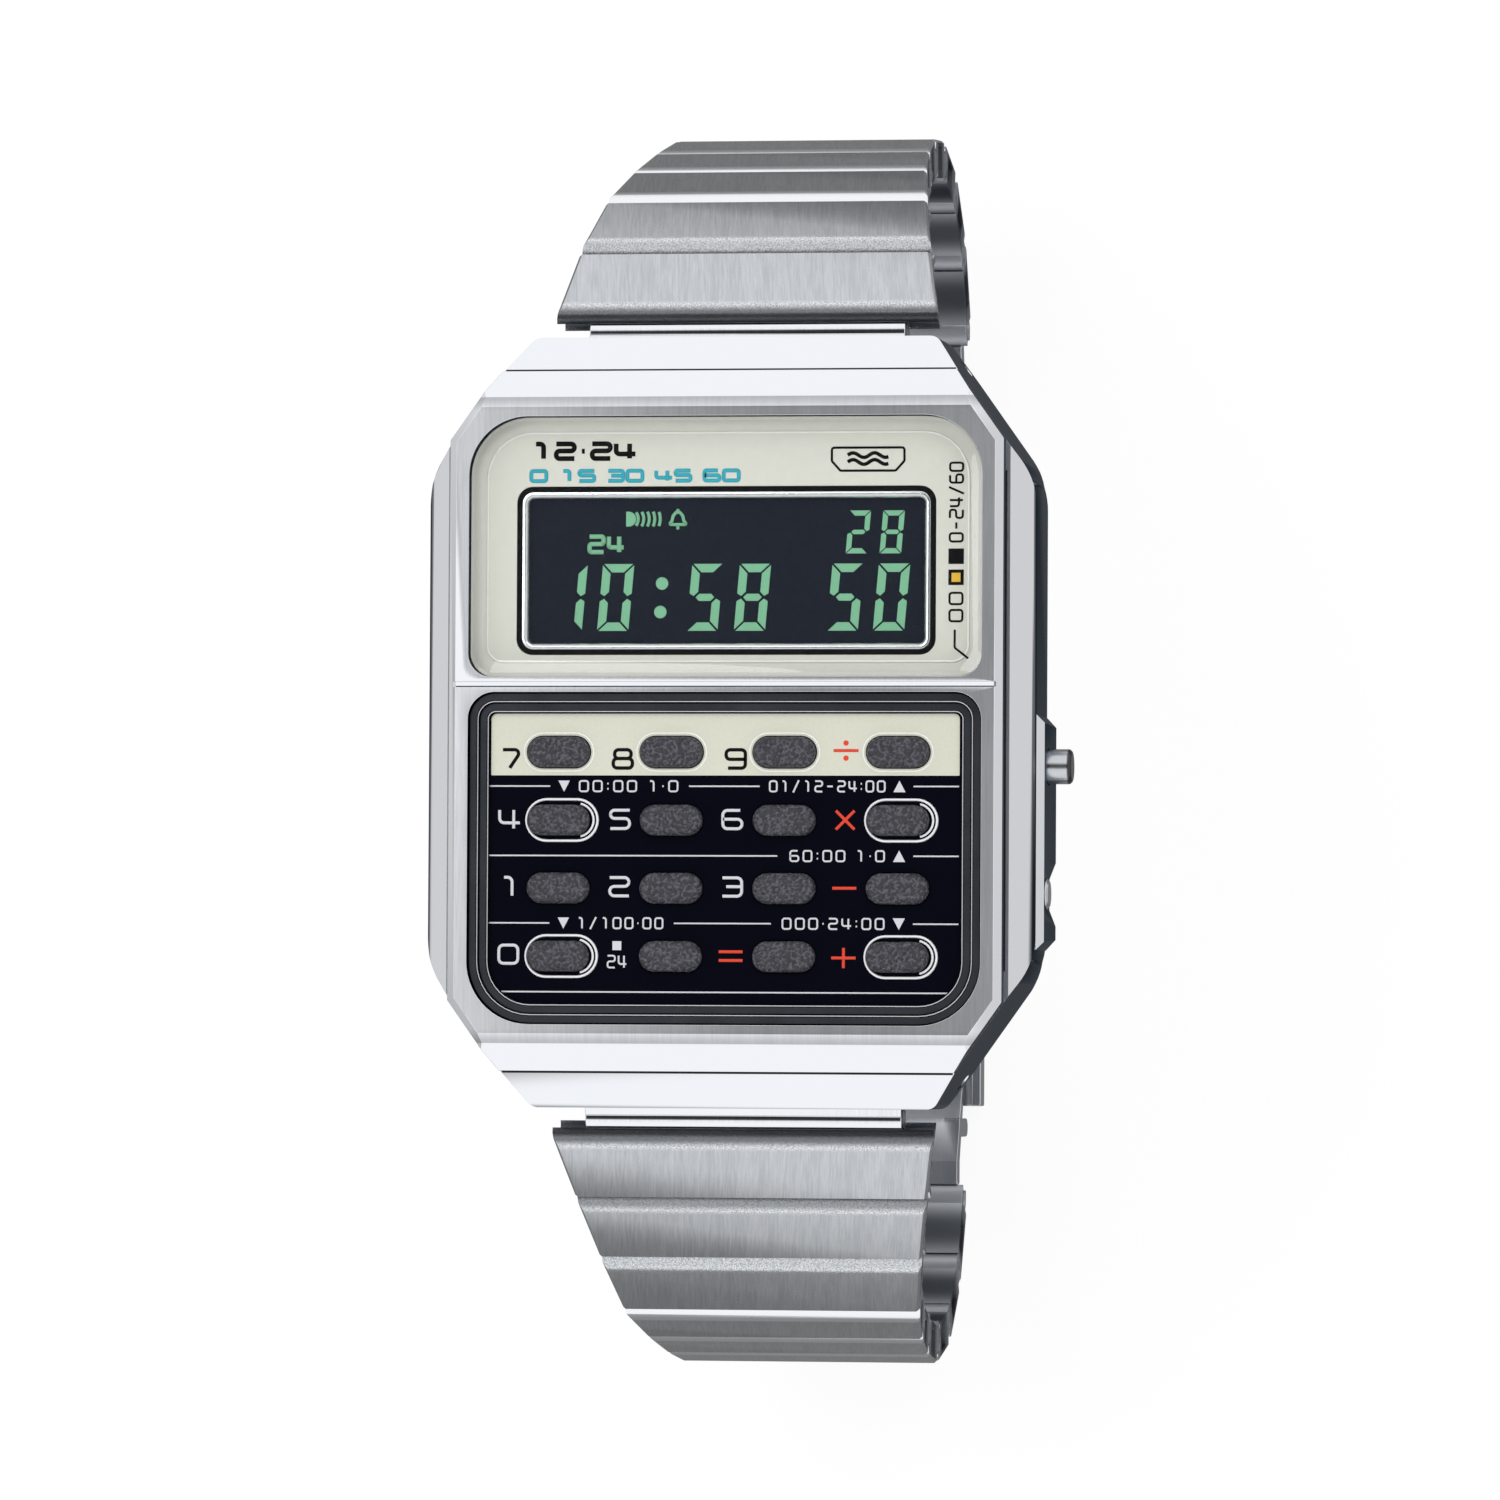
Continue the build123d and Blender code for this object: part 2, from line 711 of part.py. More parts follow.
def socket(face, pitch, swing):
    """Adds the curled far end that holds the next link's barrel, open towards that link."""
    inner = barrel_radius + slide_fit
    play = degrees(asin(neck_thickness / 2 / inner)) + mouth_angle
    face += Pos(pitch, 0) * Circle(inner + socket_wall)
    face -= Pos(pitch, 0) * Circle(inner)
    rays = 5
    turn = (swing + 2 * play) / (rays - 1)
    fan = [(pitch, 0)]
    for ray in range(rays):
        angle = radians(play - ray * turn)
        fan.append((pitch + link_pitch * cos(angle) / 2, link_pitch * sin(angle) / 2))
    return face - make_face(Polyline(*fan, close=True))


def barrel(half_width):
    """Round bead on a neck, at the case side of a link."""
    reach = front_radius() + fit
    face = Circle(barrel_radius) + Pos(reach / 2, 0) * Rectangle(reach, neck_thickness)
    return extrude(face, amount=half_width, both=True)


def link_outline():
    """Section of a link with its rounded nose, before its ends are cut to fit."""
    low = sqrt(front_radius() ** 2 - nose_length ** 2) + nose_lip
    end = link_pitch - link_gap
    nose = TangentArc((shoulder_length, link_top), (-nose_length, low), tangent=(-1, 0))
    rest = Polyline((-nose_length, low), (-nose_length, -link_bottom), (end, -link_bottom),
                    (end, link_top), (shoulder_length, link_top))
    return make_face([nose] + list(rest.edges()))


def taper(near, far):
    """Block that narrows along the band, its upper long edges broken."""
    back = front_radius()
    slope = (far - near) / link_pitch
    start, end = near - back * slope, far + back * slope
    points = [(-back, -start), (link_pitch + back, -end), (link_pitch + back, end), (-back, start)]
    block = extrude(Plane.XZ * make_face(Polyline(*points, close=True)), amount=link_top, both=True)
    upper = block.faces().sort_by(Axis.Y)[-1].edges().sort_by(Axis.Z)
    return chamfer([upper[0], upper[-1]], link_edge)


def link(near, far, barrel_half, swing):
    face = link_outline() - Circle(front_radius())
    hollow_start = front_radius() + link_wall
    hollow_end = link_pitch - front_radius() - link_wall
    length, height = hollow_end - hollow_start, link_top + link_bottom - 2 * link_wall
    face = socket(face, link_pitch, swing)
    face -= Pos((hollow_start + hollow_end) / 2, (link_top - link_bottom) / 2) * Rectangle(length, height)
    body = extrude(face, amount=near, both=True) & taper(near, far)
    return body + barrel(barrel_half)


def end_link(swing):
    """Short link on the spring bar, under the lug."""
    outer = bar_radius + slide_fit + end_link_wall
    end = end_link_pitch - link_gap
    face = Pos(end / 2, (end_link_top - link_bottom) / 2) * Rectangle(end, end_link_top + link_bottom)
    face = socket(face + Circle(outer), end_link_pitch, swing)
    face -= Circle(bar_radius + slide_fit)
    return extrude(face, amount=end_link_width / 2, both=True)


def band_widths():
    """Half widths of the band at each link's hinge, from the case to the clasp."""
    drop = band_start_width - band_end_width
    return [(band_start_width - share * drop) / 2 for share in taper_shares]


def band_half(name, side, angles, last_angle):
    """Nodes of one half of the band: the end link and the links up to the clasp."""
    points = hinge_chain(side, angles)
    swings = [b - a for a, b in zip(angles, list(angles[1:]) + [last_angle])]
    widths = band_widths()
    nodes = {"end_link_" + name: link_place(side, points[0], angles[0]) * end_link(swings[0])}
    for i in range(1, len(angles)):
        half = widths[i - 1]
        bead = end_link_width / 2 if i == 1 else half
        shape = link(half, widths[i], bead, swings[i])
        nodes["link_" + name + "_" + str(i)] = link_place(side, points[i], angles[i]) * shape
    return nodes, points[-1]


# Clasp

def clasp_catch():
    """End piece of the twelve o'clock half, with the cross bar that the hook catches."""
    face = Pos(catch_length / 2, (catch_top - link_bottom) / 2) * Rectangle(catch_length,
                                                                            catch_top + link_bottom)
    face -= Circle(front_radius())
    body = extrude(face, amount=catch_width / 2, both=True)
    end = catch_length - catch_bar
    body -= slab((end - catch_window, -link_top, -catch_window_width / 2),
                 (end, link_top, catch_window_width / 2))
    body += barrel(catch_width / 2)
    tips = body.edges().filter_by(Axis.Y).group_by(Axis.X)[-1]
    return fillet(tips, catch_bar)


def hook_reach(catch_point, base_point):
    """From the base's hinge to the far side of the catch's window, along the band."""
    turn = radians(180 - catch_angle)
    end = catch_length - catch_bar
    gap = catch_point[0] - base_point[0]
    return gap - end * cos(turn) + catch_top * sin(turn)


def base_outline(length):
    low, high = base_drop, base_drop + base_thickness
    face = make_face(Polyline((0, -link_bottom), (base_ramp_start, -link_bottom),
                              (base_ramp_start + base_ramp_length, low), (length, low), (length, high),
                              (base_ramp_start + base_ramp_length, high), (base_ramp_start, catch_top),
                              (0, catch_top), close=True))
    return face - Circle(front_radius())


def cover_inner():
    return base_drop + base_thickness + cover_gap


def pin_height():
    return cover_inner() + cover_thickness / 2


def clasp_base(length):
    """Base plate on the six o'clock half, with two ears and the cover's pin."""
    body = extrude(base_outline(length), amount=catch_width / 2, both=True)
    body += barrel(catch_width / 2)
    knuckle = cover_thickness / 2
    for side in (-1, 1):
        middle = side * (cover_knuckle_width / 2 + ear_gap + ear_width / 2)
        root = catch_top
        ear = Pos(cover_hinge_length, (root + pin_height()) / 2, middle) * Box(
            2 * knuckle, pin_height() - root, ear_width)
        body += ear + Pos(cover_hinge_length, pin_height(), middle) * Cylinder(knuckle, ear_width)
    body += Pos(cover_hinge_length, pin_height(), 0) * Cylinder(cover_pin_radius,
                                                         cover_knuckle_width + 2 * ear_width)
    tips = body.edges().filter_by(Axis.Y).group_by(Axis.X)[-1]
    return fillet(tips, base_thickness)


def clasp_cover(end, hook_face):
    """Outer cover: a shallow channel hinged on the pin, with a hook near its free end."""
    inner, outer = cover_inner(), cover_inner() + cover_thickness
    wide, clear = cover_width / 2, cover_width / 2 - cover_flange
    top = outer - cover_flange_height
    half = [(clear, inner), (clear, top), (wide, top), (wide, outer - cover_edge),
            (wide - cover_edge, outer)]
    section = half + [(-x, y) for x, y in reversed(half)]
    start = cover_hinge_length + cover_flange_start
    profile = Plane.YZ.offset(start) * make_face(
        Polyline(*[(y, x) for x, y in section], close=True))
    body = extrude(profile, amount=end - start)
    knuckle = cover_thickness / 2
    tongue = Pos((cover_hinge_length + start) / 2, (inner + outer) / 2, 0) * Box(
        start - cover_hinge_length, cover_thickness, cover_knuckle_width)
    body += tongue + Pos(cover_hinge_length, pin_height(), 0) * Cylinder(knuckle, cover_knuckle_width)
    body -= Pos(cover_hinge_length, pin_height(), 0) * Cylinder(cover_pin_radius + slide_fit, cover_width)
    low = hook_face - hook_thickness
    height = hook_top_height()
    body += slab((low, height, -hook_width / 2), (hook_face, inner + fit, hook_width / 2))
    back, corner = cover_hinge_length - cover_thickness, cover_corner
    plan = [(back, -wide), (end - corner, -wide), (end, corner - wide), (end, wide - corner),
            (end - corner, wide), (back, wide)]
    return body & extrude(Plane.XZ * make_face(Polyline(*plan, close=True)), amount=2 * outer,
                          both=True)


def hook_top_height():
    """How far below the hinge line the hook's tip is, in the base's frame."""
    turn = radians(180 - catch_angle)
    end = catch_length - catch_bar
    return end * sin(turn) + catch_top * cos(turn) - hook_depth


def build():
    closed_6 = angles_6 + (closing_angle(),)
    pieces = {
        "case_body": case_body(), "bezel": bezel(), "display_crystal": crystal(),
        "dial_mask": dial(), "display_frame": display_frame(), "lcd_panel": display_panel(),
        "keypad_plate": keypad_plate(), "keypad_membrane": keypad_membrane(),
        "circuit_board": circuit_board(), "module_frame": module_frame(),
        "battery": battery(), "battery_clip": battery_clip(), "buzzer_disc": buzzer_disc(),
        "caseback": caseback(), "caseback_gasket": gasket_ring(gasket_squeeze),
        "caseback_screws": caseback_screws(), "spring_bars": spring_bars(),
        "mode_button": pusher(mode_y, mode_radius, mode_length),
        "adjust_button": pusher(adjust_y, adjust_radius, adjust_length),
        "mode_button_spring": pusher_spring(mode_y, mode_radius),
        "adjust_button_spring": pusher_spring(adjust_y, adjust_radius),
    }
    for name, (x, y) in zip(key_names, key_places()):
        pieces["key_" + name] = key(x, y)
    upper, catch_point = band_half("12", 1, angles_12, catch_angle)
    lower, base_point = band_half("6", -1, closed_6, 180)
    pieces.update(upper)
    pieces.update(lower)
    window_end = hook_reach(catch_point, base_point)
    base_length = window_end - catch_bar - base_gap
    hook_face = window_end + hook_play + hook_thickness
    cover_end = hook_face + cover_edge
    base_place = link_place(-1, base_point, 180)
    pieces["clasp_catch"] = link_place(1, catch_point, catch_angle) * clasp_catch()
    pieces["clasp_base"] = base_place * clasp_base(base_length)
    pieces["clasp_cover"] = base_place * clasp_cover(cover_end, hook_face)
    standing_height = cover_inner() + cover_thickness - base_point[1]
    return {name: Pos(0, 0, standing_height) * shape for name, shape in pieces.items()}


os.makedirs("parts", exist_ok=True)
for name, shape in build().items():
    export_step(shape, "parts/" + name + ".step")
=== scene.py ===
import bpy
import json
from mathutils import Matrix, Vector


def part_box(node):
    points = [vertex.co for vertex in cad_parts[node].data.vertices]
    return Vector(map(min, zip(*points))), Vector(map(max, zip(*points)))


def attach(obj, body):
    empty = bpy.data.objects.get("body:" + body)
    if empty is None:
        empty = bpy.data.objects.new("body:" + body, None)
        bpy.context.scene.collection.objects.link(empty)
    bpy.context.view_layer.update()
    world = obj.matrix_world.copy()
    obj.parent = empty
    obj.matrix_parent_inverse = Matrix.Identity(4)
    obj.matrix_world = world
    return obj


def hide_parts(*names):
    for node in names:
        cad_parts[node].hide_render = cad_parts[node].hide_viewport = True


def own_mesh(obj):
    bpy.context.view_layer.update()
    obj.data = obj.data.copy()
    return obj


bl_info = {
    "name": "Calculator watch",
    "version": (1, 0, 0),
    "blender": (4, 5, 0),
    "location": "3D View > Sidebar > Watch",
    "description": "Dresses the packed calculator watch: display, keypad, prints, metals and stage",
    "category": "Object",
}

import json
import math

import bmesh
import bpy
from bpy.props import FloatProperty, FloatVectorProperty, PointerProperty, StringProperty
from mathutils import Matrix, Vector

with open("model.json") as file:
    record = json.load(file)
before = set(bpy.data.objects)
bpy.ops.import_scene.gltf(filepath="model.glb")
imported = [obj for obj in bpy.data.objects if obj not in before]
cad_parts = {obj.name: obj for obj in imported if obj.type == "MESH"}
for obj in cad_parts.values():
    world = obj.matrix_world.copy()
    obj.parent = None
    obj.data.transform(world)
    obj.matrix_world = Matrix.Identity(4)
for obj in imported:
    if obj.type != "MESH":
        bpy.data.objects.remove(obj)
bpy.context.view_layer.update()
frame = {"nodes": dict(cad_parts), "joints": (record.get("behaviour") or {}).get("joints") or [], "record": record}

MM = 0.001                      # one millimetre in Blender's metres
CASE = "case"                   # the body that carries the display and the keypad
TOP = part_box("bezel")[1].z      # top of the bezel
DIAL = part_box("dial_mask")[1].z
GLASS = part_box("lcd_panel")[1].z
PRINT = 0.012 * MM              # how thick a printed layer is


# Small helpers for node trees, materials and meshes

def set_socket(tree, socket, value):
    """Links a socket to another one, or gives it a value; a colour gets its alpha."""
    if isinstance(value, bpy.types.NodeSocket):
        tree.links.new(value, socket)
    elif socket.type == "RGBA" and len(value) == 3:
        socket.default_value = (*value, 1)
    else:
        socket.default_value = value


def add(tree, kind, inputs=None, **settings):
    """A node with its settings, its inputs given as values or as sockets to link."""
    node = tree.nodes.new(kind)
    for key, value in settings.items():
        setattr(node, key, value)
    for key, value in (inputs or {}).items():
        set_socket(tree, node.inputs[key], value)
    return node


def new_material(name, colour, roughness, metallic=0.0, **more):
    """A material with its Principled shader; a key of more is the name of a socket."""
    material = bpy.data.materials.new(name)
    material.use_nodes = True
    tree = material.node_tree
    shader = tree.nodes["Principled BSDF"]
    named = {"Base Color": colour, "Roughness": roughness, "Metallic": metallic}
    named.update((key.replace("_", " "), value) for key, value in more.items())
    for key, value in named.items():
        set_socket(tree, shader.inputs[key], value)
    return material, tree, shader


def shader_group(name, inputs, outputs, make):
    """A shader node group, built once.

    An input with no default is a vector, any other a number. make(tree, source) gives the
    socket for each output."""
    if name in bpy.data.node_groups:
        return bpy.data.node_groups[name]
    tree = bpy.data.node_groups.new(name, "ShaderNodeTree")
    for label, default in inputs.items():
        kind = "NodeSocketVector" if default is None else "NodeSocketFloat"
        socket = tree.interface.new_socket(label, in_out="INPUT", socket_type=kind)
        if default is not None:
            socket.default_value = default
    for label in outputs:
        tree.interface.new_socket(label, in_out="OUTPUT", socket_type="NodeSocketFloat")
    source = tree.nodes.new("NodeGroupInput").outputs
    target = tree.nodes.new("NodeGroupOutput").inputs
    for label, result in zip(outputs, make(tree, source)):
        tree.links.new(result, target[label])
    return tree


def place_group(tree, group, **inputs):
    """Outputs of the group placed in a material, its inputs given by name."""
    return add(tree, "ShaderNodeGroup", inputs, node_tree=group).outputs


def maths(tree, kind, a, b=None, clamp=False):
    inputs = {0: a} if b is None else {0: a, 1: b}
    return add(tree, "ShaderNodeMath", inputs, operation=kind, use_clamp=clamp).outputs[0]


def vectors(tree, kind, a, b):
    """Vector maths of two vectors, which gives a vector, or a number for a dot product."""
    node = add(tree, "ShaderNodeVectorMath", {0: a, 1: b}, operation=kind)
    return node.outputs["Value" if kind == "DOT_PRODUCT" else "Vector"]


def split(tree, place):
    return add(tree, "ShaderNodeSeparateXYZ", {0: place}).outputs


def noise(tree, place, scale, detail, roughness=0.5):
    return add(tree, "ShaderNodeTexNoise", {"Vector": place, "Scale": scale, "Detail": detail,
                                            "Roughness": roughness}).outputs["Fac"]


def between(tree, value, low, high, start=0.0, end=1.0):
    """Smooth step of a value from low to high, put out from start to end."""
    node = add(tree, "ShaderNodeMapRange", {"Value": value, "From Min": low, "From Max": high,
                                            "To Min": start, "To Max": end},
               interpolation_type="SMOOTHSTEP")
    return node.outputs["Result"]


def mix_colour(tree, share, first, second):
    """Colour between two colours, each a colour or a socket."""
    return add(tree, "ShaderNodeMix", {0: share, 6: first, 7: second},
               data_type="RGBA").outputs[2]


def dimmed(colour, share):
    return tuple(share * c for c in colour)


def bump(tree, shader, height, distance, base=None):
    """Relief on a shader; base is a normal that it is laid on."""
    node = add(tree, "ShaderNodeBump", {"Height": height, "Distance": distance})
    if base is not None:
        tree.links.new(base, node.inputs["Normal"])
    tree.links.new(node.outputs["Normal"], shader.inputs["Normal"])


# Shared effects

def brushed(tree, place, across, along):
    """Fine parallel scratches that run in one direction: their Tone and their Height."""
    def make(tree, source):
        stretch = add(tree, "ShaderNodeCombineXYZ", {"X": source["Across"], "Y": source["Along"],
                                                     "Z": source["Along"]})
        spot = vectors(tree, "MULTIPLY", source["Place"], stretch.outputs[0])
        fine = noise(tree, spot, 1.0, 4.0, 0.62)
        wide = add(tree, "ShaderNodeVectorMath", {0: spot, "Scale": 0.17}, operation="SCALE")
        broad = noise(tree, wide.outputs[0], 1.0, 2.0)
        tone = maths(tree, "ADD", maths(tree, "MULTIPLY", fine, 0.65),
                     maths(tree, "MULTIPLY", broad, 0.35))
        return tone, fine
    group = shader_group("Brushed grain", {"Place": None, "Across": 9000.0, "Along": 160.0},
                         ("Tone", "Height"), make)
    return place_group(tree, group, Place=place, Across=across, Along=along)


def grained(tree, place, fineness):
    """Height of the small round grain of a moulded or blasted surface."""
    def make(tree, source):
        cells = add(tree, "ShaderNodeTexVoronoi", {"Vector": source["Place"],
                                                   "Scale": source["Fineness"]},
                    feature="SMOOTH_F1")
        fine = noise(tree, source["Place"], source["Fineness"], 3.0)
        height = maths(tree, "ADD", maths(tree, "MULTIPLY", cells.outputs["Distance"], 0.6),
                       maths(tree, "MULTIPLY", fine, 0.6))
        return (height,)
    group = shader_group("Moulded grain", {"Place": None, "Fineness": 5000.0}, ("Height",), make)
    return place_group(tree, group, Place=place, Fineness=fineness)["Height"]


def handled(tree, shader, place, roughness, amount, patches=120.0):
    """Gives a shader its roughness, with broad soft patches where it has been wiped."""
    def make(tree, source):
        spread = maths(tree, "SUBTRACT", noise(tree, source["Place"], source["Patches"], 5.0, 0.55),
                       0.5)
        return (maths(tree, "ADD", source["Roughness"],
                      maths(tree, "MULTIPLY", spread, source["Amount"]), clamp=True),)
    group = shader_group("Handling marks", {"Place": None, "Patches": 120.0, "Roughness": 0.3,
                                            "Amount": 0.1}, ("Roughness",), make)
    marks = place_group(tree, group, Place=place, Roughness=roughness, Amount=amount,
                        Patches=patches)
    tree.links.new(marks["Roughness"], shader.inputs["Roughness"])


def facing(tree, normal):
    """Masks by how a surface is turned: Flat upwards, to the Side, or Upright."""
    def make(tree, source):
        parts = split(tree, source["Facing"])
        return (between(tree, parts["Z"], 0.95, 0.995),
                between(tree, maths(tree, "ABSOLUTE", parts["X"]), 0.8, 0.95),
                between(tree, maths(tree, "ABSOLUTE", parts["Z"]), 0.55, 0.25))
    group = shader_group("Facing", {"Facing": None}, ("Flat", "Side", "Upright"), make)
    return place_group(tree, group, Facing=normal)


# Finishes

def plated_metal(name, look, flat_roughness, bright_roughness, crown=None):
    """Plated case metal: satin flats, bright slopes and upright sides darkened by painted shade.

    A crown is the place from the middle, along the watch, where painted shade on a flat starts and
    where that ends. A crowned piece is also slightly domed across the watch."""
    material, tree, shader = new_material(name, look.plate_colour, bright_roughness, 1.0)
    where = add(tree, "ShaderNodeTexCoord").outputs
    turned_to = facing(tree, where["Normal"])
    flat, upright = turned_to["Flat"], turned_to["Upright"]
    brushing = brushed(tree, where["Object"], 7000.0, 420.0)
    satin = between(tree, flat, 0, 1, bright_roughness, flat_roughness)
    rough = maths(tree, "ADD", satin, maths(tree, "MULTIPLY", upright, 0.22))
    handled(tree, shader, where["Object"], rough, 0.05)
    # Painted shade: upright sides take a dark colour standing in for the dark they reflect; the same colour also
    # darkens the brushing streaks on the flats
    shade = mix_colour(tree, upright, look.plate_colour, look.painted_side_shade_and_streaks)
    tone = between(tree, brushing["Tone"], 0.3, 0.7, 0.0, 0.16)
    shade = mix_colour(tree, maths(tree, "MULTIPLY", tone, flat), shade, look.painted_side_shade_and_streaks)
    dome = None
    if crown:
        parts = split(tree, where["Object"])
        along = maths(tree, "ABSOLUTE", parts["Y"])
        start, end, soft_end = (y * MM for y in (crown[0], crown[1], crown[1] + 0.03))
        # Painted shade: a darker strip across the flat near each end of the bezel
        strip = maths(tree, "MULTIPLY", between(tree, along, start, end),
                      between(tree, along, soft_end, end))
        shade = mix_colour(tree, maths(tree, "MULTIPLY", strip, look.crown_painted_shade), shade,
                           look.painted_side_shade_and_streaks)
        square = maths(tree, "MULTIPLY", parts["X"], parts["X"])
        arch = maths(tree, "MULTIPLY", square, -0.5 / (look.dome * MM))
        dome = add(tree, "ShaderNodeBump", {"Distance": 1.0, "Height": arch}).outputs["Normal"]
    tree.links.new(shade, shader.inputs["Base Color"])
    # Painted reflection: the shine of the upright sides is tinted darker
    painted_edge_reflection = mix_colour(tree, upright, (1, 1, 1), look.painted_side_reflection)
    tree.links.new(painted_edge_reflection, shader.inputs["Specular Tint"])
    lines = maths(tree, "MULTIPLY", brushing["Height"], flat)
    specks = maths(tree, "MULTIPLY", grained(tree, where["Object"], 9000.0), upright)
    bump(tree, shader, maths(tree, "ADD", maths(tree, "MULTIPLY", lines, 0.25), specks),
         0.004 * MM, dome)
    return material


def link_metal(name, look, hinge, along, length, outward, nose_tip_painted_light, blast):
    """Band steel, brushed along the band, with a nose at the link's near end.

    The nose light share sets how little painted shade the nose's tip takes, and blast how much it is pitted."""
    material, tree, shader = new_material(name, look.steel_colour, look.brushed_roughness, 1.0)
    where = add(tree, "ShaderNodeTexCoord").outputs
    grain = grained(tree, where["Object"], 13000.0)
    from_hinge = vectors(tree, "SUBTRACT", where["Object"], tuple(hinge))
    run = vectors(tree, "DOT_PRODUCT", from_hinge, tuple(along))
    nose = between(tree, run, (look.nose_length + 0.3) * MM, (look.nose_length - 0.1) * MM)
    leaning = maths(tree, "ADD", split(tree, where["Object"])["X"],
                    maths(tree, "MULTIPLY", run, look.lean))
    flat_place = add(tree, "ShaderNodeCombineXYZ", {"X": leaning, "Y": run}).outputs[0]
    brushing = brushed(tree, flat_place, 8000.0, 500.0)

    # Painted shade on the sides and the inside, with a painted highlight as a lighter ripple at each joint
    inner = between(tree, vectors(tree, "DOT_PRODUCT", where["Normal"], tuple(outward)), 0.62, 0.1)
    side = maths(tree, "MAXIMUM", facing(tree, where["Normal"])["Side"], inner)
    turn = maths(tree, "MULTIPLY", run, 2 * math.pi / length)
    wave = maths(tree, "ADD", maths(tree, "MULTIPLY", maths(tree, "COSINE", turn), 0.5), 0.5)
    painted_joint_ripple = mix_colour(tree, maths(tree, "POWER", wave, 1.6), look.painted_band_shade,
                        look.painted_ripple_and_inner_steel)

    tone = between(tree, brushing["Tone"], 0.36, 0.64)
    plain = mix_colour(tree, tone, look.steel_colour, look.streak_colour)
    speckle = maths(tree, "MULTIPLY", between(tree, grain, 0.35, 0.75), blast)
    # Painted shade at the nose's tip, and a painted highlight in the nose's bright colour
    tip = between(tree, run, look.nose_length * MM, 0.35 * look.nose_length * MM)
    painted_tip_shade = maths(tree, "MULTIPLY", tip, 1.0 - nose_tip_painted_light)
    pitted = mix_colour(tree, speckle, look.painted_nose_highlight, look.pit_colour)
    pitted = mix_colour(tree, painted_tip_shade, pitted, look.painted_band_shade)
    plain = mix_colour(tree, nose, plain, pitted)
    tree.links.new(mix_colour(tree, side, plain, painted_joint_ripple), shader.inputs["Base Color"])
    # Painted reflection: the shine of the sides and the inside is tinted
    painted_edge_reflection = mix_colour(tree, side, (1, 1, 1), look.painted_ripple_and_inner_steel)
    tree.links.new(painted_edge_reflection, shader.inputs["Specular Tint"])

    rough = between(tree, nose, 0, 1, look.brushed_roughness, look.nose_roughness)
    rough = maths(tree, "ADD", rough, maths(tree, "MULTIPLY", side, 0.16))
    handled(tree, shader, where["Object"], rough, 0.06, 260.0)
    lines = maths(tree, "MULTIPLY", brushing["Height"], maths(tree, "SUBTRACT", 1.0, nose))
    blasted = maths(tree, "MULTIPLY", maths(tree, "MULTIPLY", grain, nose), 1.1 * blast)
    bump(tree, shader, maths(tree, "ADD", lines, blasted), 0.006 * MM)
    return material


def plain_metal(name, colour, roughness, across=6000.0, along=6000.0, dark_from=None):
    """Metal of a small or inner piece, with fine machining marks.

    dark_from is where, across the watch, an end rim turns dark."""
    material, tree, shader = new_material(name, colour, roughness, 1.0)
    where = add(tree, "ShaderNodeTexCoord").outputs
    marks = brushed(tree, where["Object"], across, along)
    handled(tree, shader, where["Object"], roughness, 0.14, 400.0)
    tone = between(tree, marks["Tone"], 0.25, 0.75, 0.0, 0.25)
    shade = mix_colour(tree, tone, colour, dimmed(colour, 0.6))
    if dark_from is not None:
        across_watch = split(tree, where["Object"])["X"]
        rim = between(tree, across_watch, dark_from, dark_from + 0.1 * MM)
        shade = mix_colour(tree, rim, shade, dimmed(colour, 0.12))
    tree.links.new(shade, shader.inputs["Base Color"])
    bump(tree, shader, marks["Height"], 0.003 * MM)
    return material


def moulded(name, colour, roughness, fineness=3000.0, depth=0.01, variation=0.12,
            tones=(0.25, 0.75), **more):
    """Plastic or rubber with a moulded grain; tones is the span of grain that darkens."""
    material, tree, shader = new_material(name, colour, roughness, 0.0, **more)
    where = add(tree, "ShaderNodeTexCoord").outputs
    grain = grained(tree, where["Object"], fineness)
    handled(tree, shader, where["Object"], roughness, 0.12)
    tone = between(tree, grain, *tones, 0.0, variation)
    shade = mix_colour(tree, tone, colour, dimmed(colour, 0.35))
    tree.links.new(shade, shader.inputs["Base Color"])
    bump(tree, shader, grain, depth * MM)
    return material


def printed(name, colour, roughness=0.5):
    """Ink laid on by a screen, very slightly uneven; dark ink shines less."""
    shine = 0.5 if max(colour) > 0.05 else 0.06
    return moulded(name, colour, roughness, fineness=7000.0, depth=0.002, variation=0.06,
                   Specular_IOR_Level=shine)


def clear_glass(name, tint):
    """Mineral glass that lets the light through to what lies under it."""
    material, tree, shader = new_material(name, tint, 0.0, 0.0, Transmission_Weight=1.0, IOR=1.5,
                                          Specular_IOR_Level=0.16)
    where = add(tree, "ShaderNodeTexCoord").outputs
    handled(tree, shader, where["Object"], 0.01, 0.015)
    path = add(tree, "ShaderNodeLightPath").outputs
    passing = maths(tree, "MAXIMUM", path["Is Shadow Ray"], path["Is Diffuse Ray"])
    clear = add(tree, "ShaderNodeBsdfTransparent", {"Color": tuple(tint)})
    blend = add(tree, "ShaderNodeMixShader", {0: passing, 1: shader.outputs[0],
                                              2: clear.outputs[0]})
    tree.links.new(blend.outputs[0], tree.nodes["Material Output"].inputs["Surface"])
    return material


# Shapes

def finish_piece(piece, slot, *replaced, body=CASE):
    """Sets a finished piece on its body, and hides the nodes that it stands for."""
    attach(piece, body)
    if replaced:
        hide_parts(*replaced)
    return piece


def mesh_object(name, mesh, material):
    mesh.materials.clear()
    mesh.materials.append(material)
    piece = bpy.data.objects.new(name, mesh)
    bpy.context.scene.collection.objects.link(piece)
    return piece


